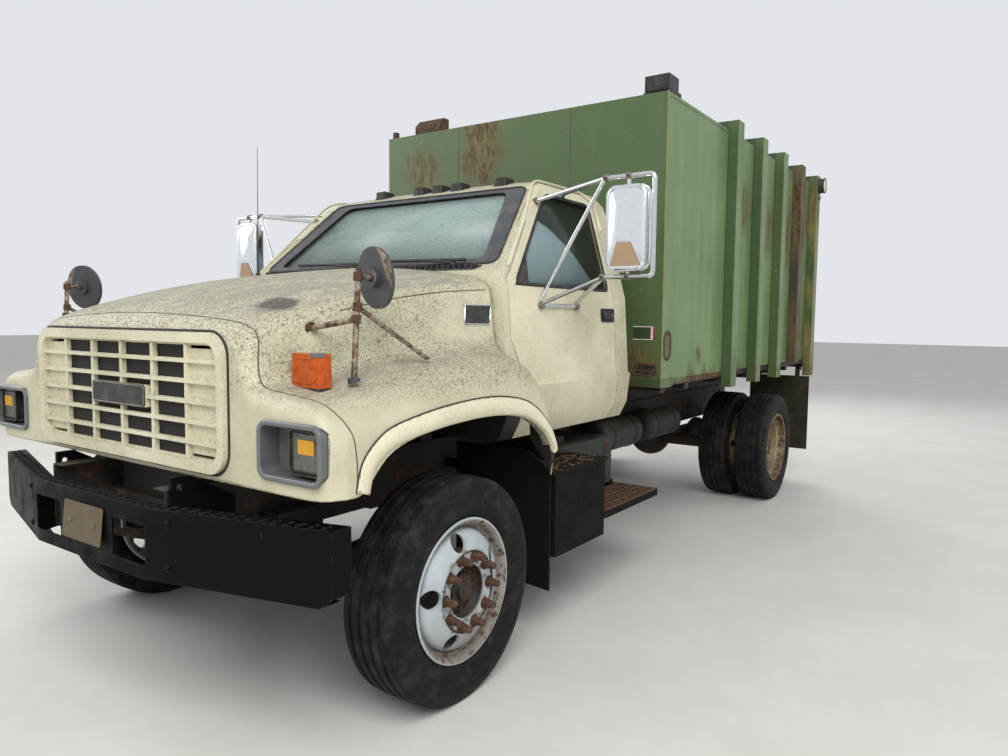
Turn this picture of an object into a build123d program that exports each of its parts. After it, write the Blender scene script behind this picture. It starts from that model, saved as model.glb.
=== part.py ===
from build123d import *
import os

os.makedirs("parts", exist_ok=True)

# Frame: millimetres, +X to the driver's side, front towards -Y, +Z up, tyres standing on Z = 0.
# A station is a distance behind the front axle.

# Overall lengths
WHEELBASE = 4445
BUMPER_FRONT = -950
TAILGATE_REAR = 5750
FRONT_AXLE_Y = -(BUMPER_FRONT + TAILGATE_REAR) / 2

# Tyres and wheels
TYRE_RADIUS = 465
TYRE_WIDTH = 255
RIM_RADIUS = 285
FLANGE_RADIUS = 298
RIM_HALF_WIDTH = 117
FRONT_TYRE_X = 1052
REAR_TYRES_X = (768, 1088)
STUD_COUNT = 10
STUD_CIRCLE_RADIUS = 142.9
HAND_HOLE_COUNT = 5
RUNNING_CLEARANCE = 0.05

# Chassis
RAIL_OUTER_X = 430
RAIL_FLANGE = 80
RAIL_PLATE = 8
RAIL_BOTTOM = 660
RAIL_TOP = 930
RAIL_FRONT = -850
RAIL_REAR = 5330
KINGPIN_X = 900
KINGPIN_RADIUS = 20
SPRING_X = 430
SPRING_WIDTH = 76
DRIVE_SHAFT_RADIUS = 50
HOOD_PIVOT = (-800, 935)
HOOD_PIVOT_RADIUS = 12

# Cab
CAB_WALL = 45
CAB_FLOOR = 990
CAB_FRONT = 505
CAB_REAR = 1800
DOOR_REAR = 1640
DOOR_GAP = 6
DOOR_HINGE_X = 1019
DOOR_HINGE_STATION = 625
DOOR_FRONT = DOOR_HINGE_STATION + 8
DOOR_TOP_X = 752
GLASS = 6
WINDOW_BELT = 1732

# Hood
HOOD_SKIN = 18
HOOD_REAR = 490
HOOD_SIDE_BOTTOM = 1300
FENDER_OUTER_X = 1200
FENDER_REAR = 614
FENDER_FRONT_BOTTOM = 975
FENDER_REAR_BOTTOM = 895
MASK_FRONT = -760
GRILLE_HALF_WIDTH = 690
GRILLE_BOTTOM = 1000
GRILLE_TOP = 1510

# Refuse box
BOX_HALF_WIDTH = 1143
BOX_WALL = 20
BOX_FRONT = 1980
BOX_REAR = 5647
BOX_BOTTOM = 1200
BOX_TOP = 2950
RIB_DEPTH = 76
RIB_WIDTH = 127
RIB_TOP = 3010
RIB_FIRST = 3080
RIB_PITCH = 610
TILT_PIVOT = (5400, 1040)
TILT_PIVOT_RADIUS = 30
TAILGATE_PIVOT = (5690, 2980)
TAILGATE_PIN_RADIUS = 14
HOIST_FOOT = (3750, 730)
HOIST_EYE = (2300, 1050)
HOIST_PIN_RADIUS = 20


def at(x, station, height):
    """A point from its offset across, its station and its height."""
    return Vector(x, FRONT_AXLE_Y + station, height)


def side_plane(x):
    """An upright plane along the truck: local x is the station and local y the height."""
    return Plane(origin=at(x, 0, 0), x_dir=(0, 1, 0), z_dir=(1, 0, 0))


def cross_plane(station):
    """An upright plane across the truck that faces forward: a negative extrusion runs rearwards."""
    return Plane(origin=at(0, station, 0), x_dir=(1, 0, 0), z_dir=(0, -1, 0))


def level_plane(height):
    """A level plane: local x runs across and local y is the station."""
    return Plane(origin=at(0, 0, height), x_dir=(1, 0, 0), z_dir=(0, 0, 1))


def block(x, station, height, mode=Mode.ADD):
    """A plain box between pairs of limits across, along and up."""
    with Locations(Location(at(x[0], station[0], height[0]))):
        Box(x[1] - x[0], station[1] - station[0], height[1] - height[0], align=(Align.MIN,) * 3, mode=mode)


def rod(start, end, radius, mode=Mode.ADD):
    """A round bar from one point to another."""
    run = Vector(end) - Vector(start)
    with BuildSketch(Plane(origin=start, z_dir=run)) as section:
        Circle(radius)
    extrude(section.sketch, amount=run.length, mode=mode)


def bent_tube(points, radius, bend):
    """A round tube through the points, with arcs at its corners."""
    with BuildLine() as route:
        FilletPolyline(*points, radius=bend)
    with BuildSketch(Plane(origin=route.line @ 0, z_dir=route.line % 0)) as section:
        Circle(radius)
    sweep(section.sketch, path=route.line)


def side_profile(points, x, mode=Mode.ADD, grow=0):
    """A plate whose outline is given as stations and heights, between two offsets across."""
    with BuildSketch(side_plane(x[0])) as outline:
        with BuildLine():
            Polyline(*points, close=True)
        make_face()
        if grow:
            offset(amount=grow, kind=Kind.INTERSECTION)
    extrude(outline.sketch, amount=x[1] - x[0], mode=mode)


def cross_profile(points, station, mode=Mode.ADD):
    """A plate whose outline is given as offsets and heights, between two stations."""
    with BuildSketch(cross_plane(station[0])) as outline:
        with BuildLine():
            Polyline(*points, close=True)
        make_face()
    extrude(outline.sketch, amount=station[0] - station[1], mode=mode)


def mirrored(points):
    """The points of one half followed by those of the other half, from the middle round."""
    return points + [(-x, y) for x, y in reversed(points)]


def channel(station, height, depth, plate, half_width):
    """A pressed crossmember with its open side to the rear."""
    block((-half_width, half_width), (station, station + plate), height)
    for flange in ((height[0], height[0] + plate), (height[1] - plate, height[1])):
        block((-half_width, half_width), (station, station + depth), flange)


# Chassis rails: two pressed channels with their flanges inwards
with BuildPart() as frame_rails:
    for side in (-1, 1):
        web = sorted((side * RAIL_OUTER_X, side * (RAIL_OUTER_X - RAIL_PLATE)))
        flange = sorted((side * RAIL_OUTER_X, side * (RAIL_OUTER_X - RAIL_FLANGE)))
        block(web, (RAIL_FRONT, RAIL_REAR), (RAIL_BOTTOM, RAIL_TOP))
        block(flange, (RAIL_FRONT, RAIL_REAR), (RAIL_BOTTOM, RAIL_BOTTOM + RAIL_PLATE))
        block(flange, (RAIL_FRONT, RAIL_REAR), (RAIL_TOP - RAIL_PLATE, RAIL_TOP))
frame_rails.part.label = "frame_rails"
export_step(frame_rails.part, "parts/frame_rails.step")

# Crossmembers, the hitch plate and the ears of the tilt and hoist pivots
CROSSMEMBER_STATIONS = (1330, 2450, 3880, 5100)
CROSSMEMBER_HEIGHT = (RAIL_BOTTOM + RAIL_PLATE + 40, RAIL_TOP - RAIL_PLATE - 20)
INSIDE_RAILS = RAIL_OUTER_X - RAIL_PLATE
HITCH_HEIGHT = 760
HITCH_SPACING = (85.7, 44.5)
HITCH_HOLE_RADIUS = 6.75
HITCH_PLATE = 16
TILT_EAR_X = (300, 330)
HOIST_EAR_X = (82, 100)
with BuildPart() as crossmembers:
    channel(-620, (690, 790), 110, RAIL_PLATE, INSIDE_RAILS)
    for station in CROSSMEMBER_STATIONS:
        channel(station, CROSSMEMBER_HEIGHT, 80, RAIL_PLATE, INSIDE_RAILS)
    for side in (-1, 1):
        hoist_ear = sorted((side * HOIST_EAR_X[0], side * HOIST_EAR_X[1]))
        side_profile(
            [(3700, 690), (3790, 680), (3880, 720), (3880, 880), (3790, 790), (3700, 770)], hoist_ear
        )
    rod(at(-110, *HOIST_FOOT), at(110, *HOIST_FOOT), HOIST_PIN_RADIUS)
    hitch_height = (RAIL_BOTTOM + RAIL_PLATE, RAIL_TOP - RAIL_PLATE)
    block((-INSIDE_RAILS, INSIDE_RAILS), (RAIL_REAR - HITCH_PLATE, RAIL_REAR), hitch_height)
    for side in (-1, 1):
        tilt_ear = sorted((side * TILT_EAR_X[0], side * TILT_EAR_X[1]))
        side_profile(
            [(5230, 780), (RAIL_REAR, 780), (5450, 1000), (5440, 1095), (5350, 1095), (5230, 925)],
            tilt_ear,
        )
    rod(at(-340, *TILT_PIVOT), at(340, *TILT_PIVOT), TILT_PIVOT_RADIUS + RUNNING_CLEARANCE, mode=Mode.SUBTRACT)
    with BuildSketch(cross_plane(RAIL_REAR)) as hitch_holes:
        with Locations((0, HITCH_HEIGHT)):
            with GridLocations(HITCH_SPACING[0], HITCH_SPACING[1], 2, 2):
                Circle(HITCH_HOLE_RADIUS)
    extrude(hitch_holes.sketch, amount=2 * HITCH_PLATE, both=True, mode=Mode.SUBTRACT)
crossmembers.part.label = "crossmembers"
export_step(crossmembers.part, "parts/crossmembers.step")

# Front bumper: a swept-back channel with closed ends, open to the rear, with two tow openings
BUMPER_FACE = -930
BUMPER_BOTTOM = 615
BUMPER_TOP = 880
BUMPER_PLATE = 8
BUMPER_END_CHAMFER = 60
PLATE_HOLE_SPACING = 178
PLATE_HOLE_RADIUS = 3.5
PLATE_BOSS_RADIUS = 9
PLATE_HEIGHT = 760
NUMBER_PLATE_SIDE = [(BUMPER_FRONT, 684), (BUMPER_FRONT + 16, 836), (BUMPER_FRONT + 18, 836),
                     (BUMPER_FRONT + 2, 684)]
NUMBER_PLATE_HALF_WIDTH = 152
TOW_OPENING = ((202, 420), (667, 815))
BRACKET_X = (RAIL_OUTER_X, RAIL_OUTER_X + 12)
bumper_front_line = [(1185, -730), (400, BUMPER_FACE)]
bumper_plan = bumper_front_line + [(-x, y) for x, y in reversed(bumper_front_line)]
bumper_outline = bumper_plan + [(-1185, -645), (-400, -864), (400, -864), (1185, -645)]
bumper_inside = [(x * 0.993, y + BUMPER_PLATE) for x, y in bumper_plan] + [
    (-1177, -560), (-400, -780), (400, -780), (1177, -560)
]
with BuildPart() as front_bumper:
    with BuildSketch(level_plane(BUMPER_BOTTOM)) as plan:
        with BuildLine():
            Polyline(*bumper_outline, close=True)
        make_face()
    extrude(plan.sketch, amount=BUMPER_TOP - BUMPER_BOTTOM)
    with BuildSketch(level_plane(BUMPER_BOTTOM + BUMPER_PLATE)) as hollow:
        with BuildLine():
            Polyline(*bumper_inside, close=True)
        make_face()
    extrude(hollow.sketch, amount=BUMPER_TOP - BUMPER_BOTTOM - 2 * BUMPER_PLATE, mode=Mode.SUBTRACT)
    for side in (-1, 1):
        opening = sorted(side * x for x in TOW_OPENING[0])
        block(opening, (BUMPER_FRONT - 10, -900), TOW_OPENING[1], mode=Mode.SUBTRACT)
        corner = [(side * 1210, BUMPER_BOTTOM - 5), (side * (1190 - BUMPER_END_CHAMFER), BUMPER_BOTTOM - 5),
                  (side * 1210, BUMPER_BOTTOM + BUMPER_END_CHAMFER)]
        cross_profile(corner, (BUMPER_FRONT, -600), mode=Mode.SUBTRACT)
        bracket = sorted(side * x for x in BRACKET_X)
        side_profile(
            [(-916, 640), (-560, 690), (-560, 860), (-760, 975), (-835, 975), (-835, 860), (-916, 860)],
            bracket,
        )
    rod(at(-460, *HOOD_PIVOT), at(460, *HOOD_PIVOT), HOOD_PIVOT_RADIUS + RUNNING_CLEARANCE, mode=Mode.SUBTRACT)
    side_profile(NUMBER_PLATE_SIDE, (-NUMBER_PLATE_HALF_WIDTH, NUMBER_PLATE_HALF_WIDTH))
    with BuildSketch(cross_plane(BUMPER_FRONT + 9)) as plate_bosses:
        with Locations((0, PLATE_HEIGHT)):
            with GridLocations(PLATE_HOLE_SPACING, 0, 2, 1):
                Circle(PLATE_BOSS_RADIUS)
    extrude(plate_bosses.sketch, amount=BUMPER_FRONT - BUMPER_FACE)
    with BuildSketch(cross_plane(BUMPER_FRONT)) as plate_holes:
        with Locations((0, PLATE_HEIGHT)):
            with GridLocations(PLATE_HOLE_SPACING, 0, 2, 1):
                Circle(PLATE_HOLE_RADIUS)
    extrude(plate_holes.sketch, amount=-5 * BUMPER_PLATE, mode=Mode.SUBTRACT)
front_bumper.part.label = "front_bumper"
export_step(front_bumper.part, "parts/front_bumper.step")

# Engine and gearbox as one plain mass, and the radiator on the front crossmember
SHAFT_FRONT = (1120, 620)
SHAFT_REAR = (4235, 500)
# Engine, sump and gearbox: half width, stations, heights
ENGINE_BLOCKS = [
    (300, (-440, 430), (700, 1300)),
    (200, (-200, 430), (580, 700)),
    (190, (430, SHAFT_FRONT[0] + 5), (560, 900)),
]
with BuildPart() as engine_block:
    for half_width, station, height in ENGINE_BLOCKS:
        block((-half_width, half_width), station, height)
engine_block.part.label = "engine_block"
export_step(engine_block.part, "parts/engine_block.step")

RADIATOR_STATION = (-600, -530)
# Core and lower tank: half width, heights
RADIATOR_BLOCKS = [(380, (940, 1440)), (330, (790, 940))]
with BuildPart() as radiator:
    for half_width, height in RADIATOR_BLOCKS:
        block((-half_width, half_width), RADIATOR_STATION, height)
radiator.part.label = "radiator"
export_step(radiator.part, "parts/radiator.step")

# Front axle: a dropped beam with an eye for each kingpin
AXLE_HALF_DEPTH = 50
EYE_RADIUS = 45
EYE_HEIGHT = (410, 520)
# Half of the beam's outline: offset, height
HALF_BEAM = [(560, 430), (720, 505), (870, 515), (870, 415), (720, 400), (560, 330)]
with BuildPart() as front_axle:
    cross_profile(mirrored(HALF_BEAM), (-AXLE_HALF_DEPTH, AXLE_HALF_DEPTH))
    for side in (-1, 1):
        rod(at(side * KINGPIN_X, 0, EYE_HEIGHT[0]), at(side * KINGPIN_X, 0, EYE_HEIGHT[1]), EYE_RADIUS)
        rod(
            at(side * KINGPIN_X, 0, EYE_HEIGHT[0]), at(side * KINGPIN_X, 0, EYE_HEIGHT[1]),
            KINGPIN_RADIUS + RUNNING_CLEARANCE, mode=Mode.SUBTRACT,
        )
front_axle.part.label = "front_axle"
export_step(front_axle.part, "parts/front_axle.step")


SPRING_PACK = 70
LEAF = 22
HANGER_HALF_LENGTH = 35


def leaf_spring(centre, half_length, seat, end_height):
    """A pair of leaf packs with their hangers, each from a curved side outline."""
    front, rear = centre - half_length, centre + half_length
    leaf_top = end_height + LEAF
    for side in (-1, 1):
        x = side * SPRING_X - SPRING_WIDTH / 2
        with BuildSketch(side_plane(x)) as outline:
            with BuildLine():
                ThreePointArc((front, end_height), (centre, seat), (rear, end_height))
                Line((rear, end_height), (rear, leaf_top))
                ThreePointArc((rear, leaf_top), (centre, seat + SPRING_PACK), (front, leaf_top))
                Line((front, leaf_top), (front, end_height))
            make_face()
        extrude(outline.sketch, amount=SPRING_WIDTH)
        for end in (front, rear):
            hanger = (end - HANGER_HALF_LENGTH, end + HANGER_HALF_LENGTH)
            block((x, x + SPRING_WIDTH), hanger, (end_height, RAIL_BOTTOM))


# Rear axle: a tube with a round final drive, and the drive shaft that runs to it from the gearbox
DIFFERENTIAL_RADIUS = 195
AXLE_TUBE_RADIUS = 75
REAR_SPINDLE_RADIUS = 50
PINION_HOUSING_RADIUS = 90
AXLE_TUBE_X = 840
REAR_SPINDLE_X = 1080
with BuildPart() as rear_axle:
    for half_length, radius in ((AXLE_TUBE_X, AXLE_TUBE_RADIUS), (REAR_SPINDLE_X, REAR_SPINDLE_RADIUS)):
        rod(at(-half_length, WHEELBASE, TYRE_RADIUS), at(half_length, WHEELBASE, TYRE_RADIUS), radius)
    with Locations(Location(at(0, WHEELBASE, TYRE_RADIUS))):
        Sphere(DIFFERENTIAL_RADIUS)
    rod(at(0, *SHAFT_REAR), at(0, WHEELBASE, TYRE_RADIUS), PINION_HOUSING_RADIUS)
    rod(at(0, *SHAFT_FRONT), at(0, *SHAFT_REAR), DRIVE_SHAFT_RADIUS)
    add(engine_block.part, mode=Mode.SUBTRACT)
rear_axle.part.label = "rear_axle"
export_step(rear_axle.part, "parts/rear_axle.step")

# Springs: station of the axle, half length, height of the seat, height of the ends
SPRINGS = [
    (0, 620, 430, 570),
    (WHEELBASE, 660, TYRE_RADIUS + AXLE_TUBE_RADIUS, 600),
]
with BuildPart() as leaf_springs:
    for spring in SPRINGS:
        leaf_spring(*spring)
leaf_springs.part.label = "leaf_springs"
export_step(leaf_springs.part, "parts/leaf_springs.step")

# Steering knuckle: yoke, kingpin, spindle and rearward arm
SPINDLE_RADIUS = 35
TIE_ROD_STATION = 180
TIE_ROD_HEIGHT = 340
TIE_ROD_RADIUS = 16
YOKE_HEIGHT = (365, 565)
YOKE_OUTER_X = (951, 975)
SPINDLE_END_X = 1110
YOKE_STATION = (-48, 48)
# Arms of the yoke, its outer wall and the steering arm: offsets, stations, heights
KNUCKLE_BLOCKS = [
    ((860, 975), YOKE_STATION, (525, 565)),
    ((860, 975), YOKE_STATION, (365, 405)),
    (YOKE_OUTER_X, YOKE_STATION, YOKE_HEIGHT),
    ((KINGPIN_X - 22, KINGPIN_X + 22), (40, TIE_ROD_STATION + 28), (365, 395)),
]
with BuildPart() as knuckle_left:
    for x, station, height in KNUCKLE_BLOCKS:
        block(x, station, height)
    rod(at(KINGPIN_X, 0, YOKE_HEIGHT[0]), at(KINGPIN_X, 0, YOKE_HEIGHT[1]), KINGPIN_RADIUS)
    rod(at(YOKE_OUTER_X[0], 0, TYRE_RADIUS), at(SPINDLE_END_X, 0, TYRE_RADIUS), SPINDLE_RADIUS)
knuckle_left.part.label = "knuckle_left"
export_step(knuckle_left.part, "parts/knuckle_left.step")

with BuildPart() as knuckle_right:
    mirror(knuckle_left.part, about=Plane.YZ)
knuckle_right.part.label = "knuckle_right"
export_step(knuckle_right.part, "parts/knuckle_right.step")

with BuildPart() as tie_rod:
    start, end = (at(x, TIE_ROD_STATION, TIE_ROD_HEIGHT) for x in (-KINGPIN_X - 4, KINGPIN_X + 4))
    rod(start, end, TIE_ROD_RADIUS)
tie_rod.part.label = "tie_rod"
export_step(tie_rod.part, "parts/tie_rod.step")


def tyre_ring(x, station):
    """A tyre of few flat bands, turned about its axle."""
    half = TYRE_WIDTH / 2
    # Each row: offset from the tyre's middle, radius
    band = [
        (-0.80 * half, RIM_RADIUS + 8), (-half, RIM_RADIUS + 70), (-half, TYRE_RADIUS - 55),
        (-0.82 * half, TYRE_RADIUS), (0.82 * half, TYRE_RADIUS), (half, TYRE_RADIUS - 55),
        (half, RIM_RADIUS + 70), (0.80 * half, RIM_RADIUS + 8),
    ]
    hub = Plane(origin=at(x, station, TYRE_RADIUS), x_dir=(1, 0, 0), z_dir=(0, -1, 0))
    with BuildSketch(hub) as section:
        with BuildLine():
            Polyline(*band, close=True)
        make_face()
    revolve(section.sketch, axis=Axis(at(0, station, TYRE_RADIUS), (1, 0, 0)))


def turned(points, x, station):
    """A ring turned about the wheel's axle, from offsets along it and radii."""
    hub = Plane(origin=at(x, station, TYRE_RADIUS), x_dir=(1, 0, 0), z_dir=(0, -1, 0))
    with BuildSketch(hub) as section:
        with BuildLine():
            Polyline(*points, close=True)
        make_face()
    revolve(section.sketch, axis=Axis(at(0, station, TYRE_RADIUS), (1, 0, 0)))


# Rim section from bead to bead: each row is offset from the rim's middle, radius
RIM_BAND = [
    (-RIM_HALF_WIDTH, FLANGE_RADIUS), (-RIM_HALF_WIDTH, RIM_RADIUS - 12), (-70, RIM_RADIUS - 14),
    (-50, RIM_RADIUS - 40), (50, RIM_RADIUS - 40), (70, RIM_RADIUS - 14), (RIM_HALF_WIDTH, RIM_RADIUS - 12),
    (RIM_HALF_WIDTH, FLANGE_RADIUS), (RIM_HALF_WIDTH - 10, FLANGE_RADIUS), (RIM_HALF_WIDTH - 12, RIM_RADIUS),
    (76, RIM_RADIUS - 2), (54, RIM_RADIUS - 28), (-54, RIM_RADIUS - 28), (-76, RIM_RADIUS - 2),
    (-RIM_HALF_WIDTH + 12, RIM_RADIUS), (-RIM_HALF_WIDTH + 10, FLANGE_RADIUS),
]

for side, name in ((1, "left"), (-1, "right")):
    with BuildPart() as tyre_front:
        tyre_ring(side * FRONT_TYRE_X, 0)
    tyre_front.part.label = f"tyre_front_{name}"
    export_step(tyre_front.part, f"parts/tyre_front_{name}.step")

    with BuildPart() as tyres_rear:
        for tyre_x in REAR_TYRES_X:
            tyre_ring(side * tyre_x, WHEELBASE)
    tyres_rear.part.label = f"tyres_rear_{name}"
    export_step(tyres_rear.part, f"parts/tyres_rear_{name}.step")


def drill_ring(x, station, radius, hole_radius, count, depth):
    """Round holes on a circle about the wheel's axle."""
    with BuildSketch(Plane(origin=at(x, station, TYRE_RADIUS), x_dir=(0, 1, 0), z_dir=(1, 0, 0))) as holes:
        with PolarLocations(radius, count, start_angle=102):
            Circle(hole_radius)
    extrude(holes.sketch, amount=depth, both=True, mode=Mode.SUBTRACT)


def stud_ring(x, station, length, radius):
    """Studs with their nuts on the bolt circle, pointing outwards."""
    with BuildSketch(Plane(origin=at(x, station, TYRE_RADIUS), x_dir=(0, 1, 0), z_dir=(1, 0, 0))) as studs:
        with PolarLocations(STUD_CIRCLE_RADIUS, STUD_COUNT):
            RegularPolygon(radius, 6)
    extrude(studs.sketch, amount=length)


# Front wheel: rim, bulged disc with hand holes, hub barrel and nuts
# Disc rows: offset from the rim's middle, radius
FRONT_DISC = [
    (-40, RIM_RADIUS - 36), (60, RIM_RADIUS - 52), (105, 205), (128, 180), (128, 108), (112, 108),
    (112, 174), (90, 196), (48, RIM_RADIUS - 64), (-40, RIM_RADIUS - 46),
]
FRONT_HUB = [
    (-70, SPINDLE_RADIUS + RUNNING_CLEARANCE), (-70, 110), (60, 110), (60, 168), (112, 168), (112, 108),
    (96, 108), (96, 100), (70, 80), (70, 0), (62, 0), (62, SPINDLE_RADIUS + RUNNING_CLEARANCE),
]
with BuildPart() as wheel_front_left:
    turned(RIM_BAND, FRONT_TYRE_X, 0)
    turned(FRONT_DISC, FRONT_TYRE_X, 0)
    turned(FRONT_HUB, FRONT_TYRE_X, 0)
    drill_ring(FRONT_TYRE_X + 80, 0, 222, 33, HAND_HOLE_COUNT, 40)
    stud_ring(FRONT_TYRE_X + 128, 0, 52, 19)
wheel_front_left.part.label = "wheel_front_left"
export_step(wheel_front_left.part, "parts/wheel_front_left.step")

with BuildPart() as wheel_front_right:
    mirror(wheel_front_left.part, about=Plane.YZ)
wheel_front_right.part.label = "wheel_front_right"
export_step(wheel_front_right.part, "parts/wheel_front_right.step")

# Rear wheels: two rims back to back on one hub
DUAL_MIDDLE = sum(REAR_TYRES_X) / 2
DUAL_HALF = (REAR_TYRES_X[1] - REAR_TYRES_X[0]) / 2
# Disc rows of the outer wheel: offset from the pair's middle, radius
REAR_DISC = [
    (DUAL_HALF + 40, RIM_RADIUS - 36), (DUAL_HALF - 60, RIM_RADIUS - 52), (45, 205), (14, 180), (14, 108),
    (0, 108), (0, 188), (34, 216), (DUAL_HALF - 72, RIM_RADIUS - 42), (DUAL_HALF + 40, RIM_RADIUS - 30),
]
REAR_HUB = [
    (-80, REAR_SPINDLE_RADIUS + RUNNING_CLEARANCE), (-80, 130), (-14, 130), (-14, 170), (14, 170), (14, 112),
    (150, 95), (185, 95), (185, 0), (160, 0), (160, REAR_SPINDLE_RADIUS + RUNNING_CLEARANCE),
]
with BuildPart() as wheels_rear_left:
    for tyre_x in REAR_TYRES_X:
        turned(RIM_BAND, tyre_x, WHEELBASE)
    turned(REAR_DISC, DUAL_MIDDLE, WHEELBASE)
    turned([(-x, r) for x, r in REAR_DISC], DUAL_MIDDLE, WHEELBASE)
    turned(REAR_HUB, DUAL_MIDDLE, WHEELBASE)
    drill_ring(DUAL_MIDDLE, WHEELBASE, 222, 30, HAND_HOLE_COUNT, 120)
    stud_ring(DUAL_MIDDLE + 14, WHEELBASE, 40, 19)
wheels_rear_left.part.label = "wheels_rear_left"
export_step(wheels_rear_left.part, "parts/wheels_rear_left.step")

with BuildPart() as wheels_rear_right:
    mirror(wheels_rear_left.part, about=Plane.YZ)
wheels_rear_right.part.label = "wheels_rear_right"
export_step(wheels_rear_right.part, "parts/wheels_rear_right.step")

# Fuel tank on the driver's side and battery box on the other, each on two brackets from its rail
TANK_X = (470, 900)
TANK_CENTRE = (1500, 715)
TANK_SIZE = (620, 290)
TANK_BRACKETS = ((1270, 1330), (1670, 1730))
with BuildPart() as side_tanks:
    for side in (-1, 1):
        tank_x = sorted(side * x for x in TANK_X)
        with BuildSketch(side_plane(tank_x[0])) as tank:
            with Locations(TANK_CENTRE):
                RectangleRounded(*TANK_SIZE, 40)
        extrude(tank.sketch, amount=tank_x[1] - tank_x[0])
        for station in TANK_BRACKETS:
            block(sorted((side * RAIL_OUTER_X, side * (TANK_X[0] + 10))), station, (680, 850))
side_tanks.part.label = "side_tanks"
export_step(side_tanks.part, "parts/side_tanks.step")

# Boarding steps: a box with a tread on top, a lower tread behind it and a splash plate in front
STEP_OUTER_X = 1150
STEP_TREAD = (814, 830)
STEP_BOX_X = (940, STEP_OUTER_X - 4)
STEP_BOX_STATION = (735, 1250)
STEP_BOX_BOTTOM = 405
STEP_PLATE = 10
LOWER_TREAD = (495, 535)
# Offsets, stations, heights
STEP_BLOCKS = [
    ((905, STEP_OUTER_X), (706, 1275), STEP_TREAD),
    ((STEP_BOX_X[1] - STEP_PLATE, STEP_BOX_X[1]), STEP_BOX_STATION, (STEP_BOX_BOTTOM, STEP_TREAD[0])),
    (STEP_BOX_X, (STEP_BOX_STATION[0], STEP_BOX_STATION[0] + STEP_PLATE), (STEP_BOX_BOTTOM, STEP_TREAD[0])),
    (STEP_BOX_X, (STEP_BOX_STATION[1] - STEP_PLATE, STEP_BOX_STATION[1]), (STEP_BOX_BOTTOM, STEP_TREAD[0])),
    (STEP_BOX_X, STEP_BOX_STATION, (STEP_BOX_BOTTOM, STEP_BOX_BOTTOM + STEP_PLATE)),
    ((850, STEP_OUTER_X), (STEP_BOX_STATION[1], 1950), LOWER_TREAD),
    ((RAIL_OUTER_X, 922), (760, 800), (770, STEP_TREAD[0])),
    ((RAIL_OUTER_X, 922), (1110, 1150), (770, STEP_TREAD[0])),
    ((850, 880), (1290, 1350), (LOWER_TREAD[1], 570)),
    ((850, 880), (1820, 1880), (LOWER_TREAD[1], 570)),
]
# Splash plate behind the front wheel: offset, height
SPLASH_PLATE = [(560, 300), (1136, 248), (1136, 845), (1000, 930), (560, 930)]
with BuildPart() as side_steps:
    for x, station, height in STEP_BLOCKS:
        block(x, station, height)
    cross_profile(SPLASH_PLATE, (694, 706))
    mirror(about=Plane.YZ)
side_steps.part.label = "side_steps"
export_step(side_steps.part, "parts/side_steps.step")

# Cab: side outline and cross outline, for the outside and again one wall further in
# Side rows: station, height
CAB_SIDE = [
    (CAB_FRONT, CAB_FLOOR), (CAB_FRONT, 1800), (600, 1830), (1100, 2300), (1330, 2370), (1660, 2370),
    (1760, 2325), (CAB_REAR, 2200), (CAB_REAR, CAB_FLOOR),
]
CAB_SIDE_INSIDE = [
    (CAB_FRONT + CAB_WALL, CAB_FLOOR + CAB_WALL), (CAB_FRONT + CAB_WALL, 1780), (630, 1795), (1118, 2256),
    (1335, 2325), (1645, 2325), (1725, 2292), (CAB_REAR - CAB_WALL, 2190),
    (CAB_REAR - CAB_WALL, CAB_FLOOR + CAB_WALL),
]
# Cross rows: offset, height
CAB_CROSS = [
    (955, CAB_FLOOR), (1000, 1080), (1020, 1245), (1005, 1260), (975, 1700), (820, 2255), (760, 2320),
    (420, 2362), (0, 2372),
]
CAB_CROSS_INSIDE = [(x - CAB_WALL, z) for x, z in CAB_CROSS[:-3]] + [(715, 2278), (420, 2315), (0, 2326)]


def cab_form(side_rows, cross_rows):
    """The solid that both outlines allow, from the side and from the front."""
    with BuildPart() as form:
        side_profile(side_rows, (-1100, 1100))
        cross_profile(mirrored(cross_rows[:-1]), (CAB_FRONT - 100, CAB_REAR + 100), mode=Mode.INTERSECT)
    return form.part


cab_outside = cab_form(CAB_SIDE, CAB_CROSS)
cab_inside = cab_form(CAB_SIDE_INSIDE, CAB_CROSS_INSIDE)
# Station, height: the low part of the front edge stands behind the fender
DOOR_OUTLINE = [
    (DOOR_FRONT, CAB_FLOOR - 20), (DOOR_FRONT, 1345), (562, 1480), (562, 1760), (610, 1800), (1055, 2275),
    (1130, 2305), (1590, 2305), (DOOR_REAR - 10, 2270), (DOOR_REAR, 1730), (DOOR_REAR, 1080),
    (1610, CAB_FLOOR - 20),
]
# Room for the leaning rear edge of a door as it opens: station, height
DOOR_JAMB = [(1600, 1730), (DOOR_REAR + DOOR_GAP, 1730), (DOOR_REAR + DOOR_GAP, 2274), (1600, 2305)]
# Room under the cowl for its front corner, which turns inwards: offsets, stations, heights
DOOR_CORNER_ROOM = ((884, 916), (572, 648), (1768, 1815))
DOOR_WINDOW = [(625, WINDOW_BELT), (1075, 2215), (1130, 2245), (1560, 2245), (1595, 2215), (1600, WINDOW_BELT)]
WINDSHIELD_OPENING = [(-800, 1850), (800, 1850), (640, 2280), (-640, 2280)]
REAR_WINDOW = (620, 1780, 2200)


def door_slab(grow):
    """The part of the cab's side wall inside the door's outline, grown round its edges and inwards."""
    with BuildPart() as slab:
        side_profile(DOOR_OUTLINE, (DOOR_TOP_X - grow, 1100), grow=grow)
        inner_face = [(x - grow, z - grow) for x, z in CAB_CROSS_INSIDE[:-1]]
        cross_profile(mirrored(inner_face), (0, 2000), mode=Mode.SUBTRACT)
    return slab.part


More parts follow.
